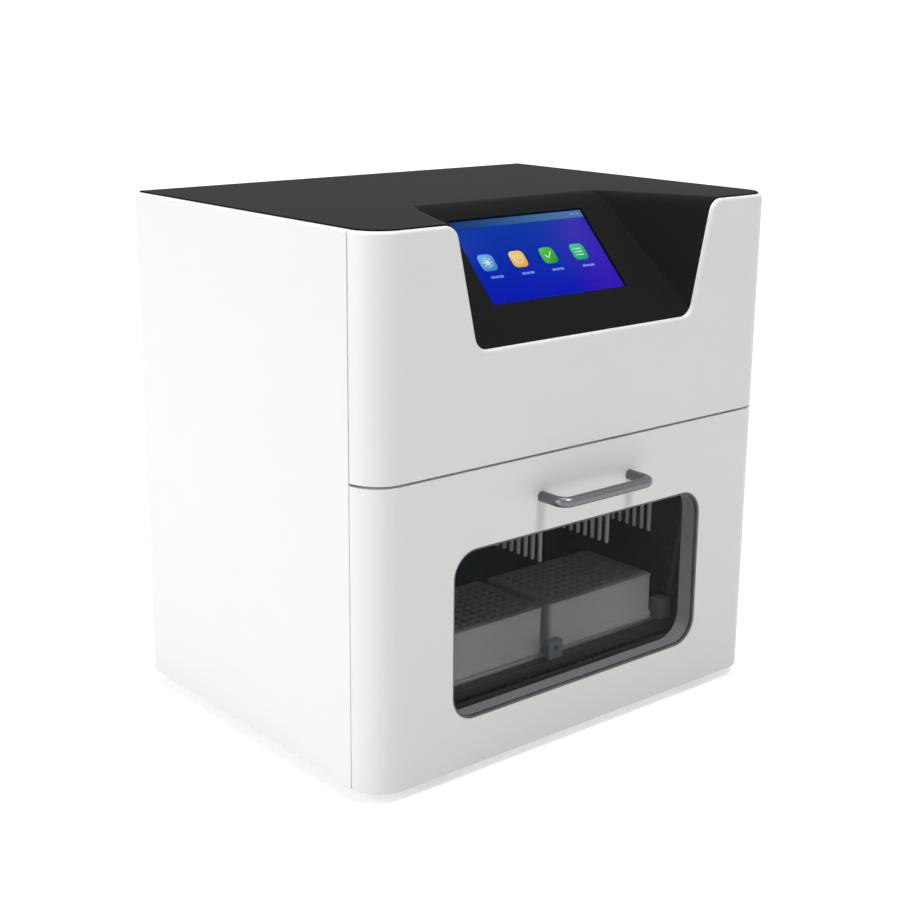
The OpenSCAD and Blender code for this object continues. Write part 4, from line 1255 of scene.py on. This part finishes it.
@dataclass
class Head:
    """Traversing head: rails, gantry, sleeve combs, magnet rods and their drives."""

    comb_x: tuple[float, ...] = (0.0, 81.0, 135.0)
    row_y: float = -96.76
    pitch: float = 9.0
    rows: int = 8
    tip: float = 141.0
    plate: float = 197.0
    strip: float = 3.0
    sleeve_r: float = 2.2
    strip_half: float = 6.0

    def sleeve(self) -> Shape:
        """One closed sleeve: a slightly tapered tube with a round end and a collar at its top."""
        r, low, high = self.sleeve_r, self.tip, self.plate - self.strip
        turn = np.linspace(0.0, math.pi / 2, 6)
        end = np.column_stack([0.82 * r * np.sin(turn), low + 1.6 * (1 - np.cos(turn))])
        profile = np.concatenate([end, [(0.88 * r, low + 12.0), (0.97 * r, high - 9.0), (r, high - 6.0),
                                        (r, high + 0.4), (0.0, high + 0.4)]])
        return lathe(profile, 20)

    def combs(self) -> None:
        """Three combs of eight sleeves, each comb under its strip."""
        length = (self.rows - 1) * self.pitch + 16.0
        mid_y = self.row_y + (self.rows - 1) * self.pitch / 2
        shapes = []
        for x in self.comb_x:
            places = np.array([(x, self.row_y + j * self.pitch, 0.0) for j in range(self.rows)])
            shapes.append(many(self.sleeve(), places))
            shapes.append(slab(2 * self.strip_half, length, 2.0, self.plate - self.strip, self.plate, 0.4,
                               (x, mid_y), 5))
        made = piece("sleeve_strips", *joined(*shapes), Palette.SLEEVE, Body.SLEEVES, crease=40.0)
        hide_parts("sleeve_combs")

    def build(self) -> None:
        """Builds and dresses the head."""
        self.combs()
        finish_nodes(Palette.RAIL, "x_rails")
        finish_nodes(Palette.RAIL_Z, "z_rails")
        softened("x_bearings", Palette.RAIL, Body.GANTRY, width=0.6)
        softened("gantry_plate", Palette.ALLOY, Body.GANTRY, width=0.4)
        softened("sleeve_frame", Palette.ALLOY, Body.SLEEVES, width=0.4)
        softened("magnet_bar", Palette.ALLOY, Body.MAGNETS, width=0.4)
        finish_nodes(Palette.POLISHED, "magnet_rods", "lift_screw", "magnet_screw", "idler_axle")
        motors = {"lift_motor": Body.GANTRY, "magnet_motor": Body.SLEEVES, "x_motor": Body.HOUSING}
        for node, body in motors.items():
            softened(node, Palette.MOTOR, body, width=2.0, segments=3)
        finish_nodes(Palette.RUBBER, "x_belt")
        finish_nodes(Palette.ALLOY, "x_drive_pulley", "x_idler_pulley")


# ---------------------------------------------------------------- rear bay


@dataclass
class RearBay:
    """What lies behind the chamber and shows through the rear panel."""

    fan_x: float = -130.0
    fan_z: float = 340.0
    fan_front: float = 155.0
    rear: float = 178.0
    port: tuple[float, float] = (60.0, 37.3)
    hub: float = 15.0
    blade_tip: float = 33.5
    blades: int = 7
    blade_steps: int = 9

    def fan_wheel(self) -> None:
        """Fan wheel: a dished hub and blades twisted from root to tip.

        A blade's point at radius r and chord c lies at the angle c / r from the blade's
        root line; its depth is c times a slope that falls with r, and a little camber.
        """
        hub, m = self.hub, self.blade_steps
        profile = np.array([(0.0, 0.6), (9.0, 0.6), (10.0, 0.0), (hub - 1.2, 0.0), (hub, 1.2), (hub, 16.0),
                            (0.0, 16.0)])
        shapes = [lathe(profile, 40)]
        radius = np.linspace(hub - 0.6, self.blade_tip, m)[:, None]
        half_chord = 8.5
        chord = np.linspace(-half_chord, half_chord, m)[None]
        out = (radius - hub) / (self.blade_tip - hub)
        angle = chord * (0.82 + 0.2 * (radius - hub) / 18.0) / radius + 0.16 * out
        depth = 8.0 + chord * (0.72 - 0.42 * out) + 0.8 * np.cos(chord / half_chord * math.pi / 2)
        thin = (0.75 - 0.3 * out) * np.sqrt(np.clip(1 - (chord / (half_chord + 0.4)) ** 2, 0.05, 1.0))
        n = m * m
        front, back = grid_faces(m, m), grid_faces(m, m, start=n)[:, ::-1]
        rim = np.concatenate([np.arange(0, m - 1), np.arange(m - 1, n - 1, m), np.arange(n - 1, n - m, -1),
                              np.arange(n - m, 0, -m)])
        band = np.stack([rim, np.roll(rim, -1), np.roll(rim, -1) + n, rim + n], -1)
        for k in range(self.blades):
            turn = angle + k * 2 * math.pi / self.blades
            x, y = radius * np.cos(turn), radius * np.sin(turn)
            skins = [np.stack([x, y, depth + side * thin], -1).reshape(-1, 3) for side in (1, -1)]
            shapes.append((np.concatenate(skins), [front, back, band]))
        points, faces = joined(*shapes)
        placed = points[:, [0, 2, 1]] + [self.fan_x, self.fan_front, self.fan_z]
        made = piece("twisted_fan", placed, faces, Palette.BLACK, Body.FAN, crease=40.0)
        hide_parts("fan_rotor")

    def ports(self) -> None:
        """Sheet face of the board's port block, with the dark mouths of its two sockets."""
        u, v = self.port
        sheet, mouth = self.rear + 0.25, self.rear + 0.35
        points, faces = slab(27.6, 13.0, 0.6, self.rear - 0.3, sheet, 0.1, (u, v), 3, 2)
        piece("port_face", FACING_REAR.set_down(points), faces, Palette.STEEL, Body.HOUSING, crease=40.0)
        points, faces = joined(slab(11.8, 8.8, 0.5, sheet - 0.1, mouth, 0.05, (u - 5.6, v), 3, 1),
                               slab(5.2, 10.8, 0.5, sheet - 0.1, mouth, 0.05, (u + 7.6, v), 3, 1))
        piece("port_mouths", FACING_REAR.set_down(points), faces, Palette.BLACK, Body.HOUSING, crease=40.0)

    def build(self) -> None:
        """Builds and dresses the rear bay."""
        self.fan_wheel()
        softened("fan_frame", Palette.BLACK, Body.HOUSING, width=0.6)
        softened("power_inlet", Palette.BLACK, Body.HOUSING, width=0.5)
        self.ports()
        softened("power_rocker", Palette.ROCKER, Body.ROCKER, width=0.6, segments=3, angle=30.0)
        finish_nodes(Palette.STEEL, "power_supply")
        finish_nodes(Palette.BOARD, "control_board")


# ---------------------------------------------------------------- studio


@dataclass
class Lamp:
    """One soft light: a square sheet aimed at a point."""

    name: str
    place: tuple[float, float, float]
    aim: tuple[float, float, float]
    size: float
    power: float

    def light(self) -> None:
        """Hangs the light."""
        data = bpy.data.lights.new(self.name, "AREA")
        data.shape = "SQUARE"
        data.size = self.size
        data.energy = self.power
        made = bpy.data.objects.new(self.name, data)
        place, aim = Vector(self.place), Vector(self.aim)
        turned = (aim - place).to_track_quat("-Z", "Y").to_matrix().to_4x4()
        made.matrix_world = Matrix.Translation(place) @ turned
        bpy.context.scene.collection.objects.link(made)


@dataclass
class Studio:
    """Pale floor, white surround, soft lights and the camera."""

    lens: float = 64.05
    place: tuple[float, float, float] = (-0.8921, -1.0327, 0.5942)
    azimuth: float = -40.21
    elevation: float = 15.37
    roll: float = 0.465
    sky: float = 0.2
    floor_r: float = 6.0
    paper: tuple[Colour, Colour] = ((238, 238, 238), (242, 242, 242))
    near_glow: float = 0.5
    far_glow: float = 1.0
    glow_reach: tuple[float, float] = (0.5, 1.6)
    lamps: list[Lamp] = field(default_factory=lambda: [
        Lamp("left_softbox", (-2.2, 0.4, 0.9), (0.0, 0.0, 0.2), 2.0, 32.0),
        Lamp("key_softbox", (0.05, -1.2, 2.25), (0.0, -0.1, 0.3), 0.5, 23.0),
        Lamp("top_softbox", (0.1, 0.45, 2.3), (0.0, 0.0, 0.4), 1.2, 20.0),
    ])

    def camera(self) -> None:
        """Sets the camera: its axes are right, up and back, turned by the roll."""
        a, e, r = (math.radians(v) for v in (self.azimuth, self.elevation, self.roll))
        back = Vector((math.sin(a) * math.cos(e), -math.cos(a) * math.cos(e), math.sin(e)))
        right = Vector((math.cos(a), math.sin(a), 0.0))
        up = back.cross(right)
        turned = right * math.cos(r) + up * math.sin(r)
        upright = up * math.cos(r) - right * math.sin(r)
        data = bpy.data.cameras.new("camera")
        data.lens = self.lens
        data.sensor_width = 36.0
        made = bpy.data.objects.new("camera", data)
        axes = Matrix((turned, upright, back)).transposed().to_4x4()
        made.matrix_world = Matrix.Translation(self.place) @ axes
        bpy.context.scene.collection.objects.link(made)
        bpy.context.scene.camera = made

    @staticmethod
    def seen(tree: bpy.types.NodeTree) -> Socket:
        """1 where the camera, a reflection or a see-through piece looks, and otherwise 0."""
        path = tree.nodes.new("ShaderNodeLightPath")
        total = path.outputs["Is Camera Ray"]
        for name in ("Is Glossy Ray", "Is Transmission Ray"):
            step = tree.nodes.new("ShaderNodeMath")
            step.operation = "MAXIMUM"
            tree.links.new(total, step.inputs[0])
            tree.links.new(path.outputs[name], step.inputs[1])
            total = step.outputs[0]
        return total

    def world(self) -> None:
        """White surround for the eye, and a plainer one that lights the instrument."""
        world = bpy.data.worlds.new("surround")
        world.use_nodes = True
        tree = world.node_tree
        tree.nodes.clear()
        lit, white = (tree.nodes.new("ShaderNodeBackground") for _ in range(2))
        lit.inputs[0].default_value = (1.0, 1.0, 1.0, 1.0)
        lit.inputs[1].default_value = self.sky
        white.inputs[0].default_value = (1.0, 1.0, 1.0, 1.0)
        white.inputs[1].default_value = 1.0
        blend, out = tree.nodes.new("ShaderNodeMixShader"), tree.nodes.new("ShaderNodeOutputWorld")
        tree.links.new(self.seen(tree), blend.inputs[0])
        tree.links.new(lit.outputs[0], blend.inputs[1])
        tree.links.new(white.outputs[0], blend.inputs[2])
        tree.links.new(blend.outputs[0], out.inputs[0])
        bpy.context.scene.world = world

    def floor(self) -> None:
        """Pale round floor that keeps the shadow: a matt sheet with a little light of its own."""
        turn = np.linspace(0.0, 2 * math.pi, 96, endpoint=False)
        rim = self.floor_r * np.column_stack([np.cos(turn), np.sin(turn), 0 * turn])
        mesh = bpy.data.meshes.new("floor")
        mesh.from_pydata(rim.tolist(), [], [list(range(len(turn)))])
        g = Graph("floor_paper")
        paper = g.noise(400.0, g.place(), 2.0)
        middle = g.add("ShaderNodeVectorMath", {0: g.add("ShaderNodeTexCoord").outputs["Object"]},
                       operation="LENGTH").outputs["Value"]
        glow = g.span(middle, self.near_glow, self.far_glow, *self.glow_reach)
        strength = g.add("ShaderNodeMath", {0: glow, 1: self.seen(g.tree)}, operation="MULTIPLY").outputs[0]
        g.dress(Base_Color=g.mix(paper, *(linear(colour) for colour in self.paper)), Roughness=0.9,
                Emission_Color=(1.0, 1.0, 1.0, 1.0), Emission_Strength=strength)
        mesh.materials.append(g.material)
        made = bpy.data.objects.new("floor", mesh)
        bpy.context.scene.collection.objects.link(made)

    def build(self) -> None:
        """Sets up the studio."""
        bpy.context.scene.view_settings.view_transform = "Standard"
        self.camera()
        self.world()
        self.floor()
        for lamp in self.lamps:
            lamp.light()


def main() -> None:
    """Builds every part of the instrument and the studio, in order."""
    logging.basicConfig(level=logging.INFO, format="%(name)s %(message)s")
    for part in (Studio(), Casing(), Console(), Door(), Chamber(), Head(), RearBay()):
        LOG.info("building %s", type(part).__name__)
        part.build()


if __name__ == "__main__":
    main()
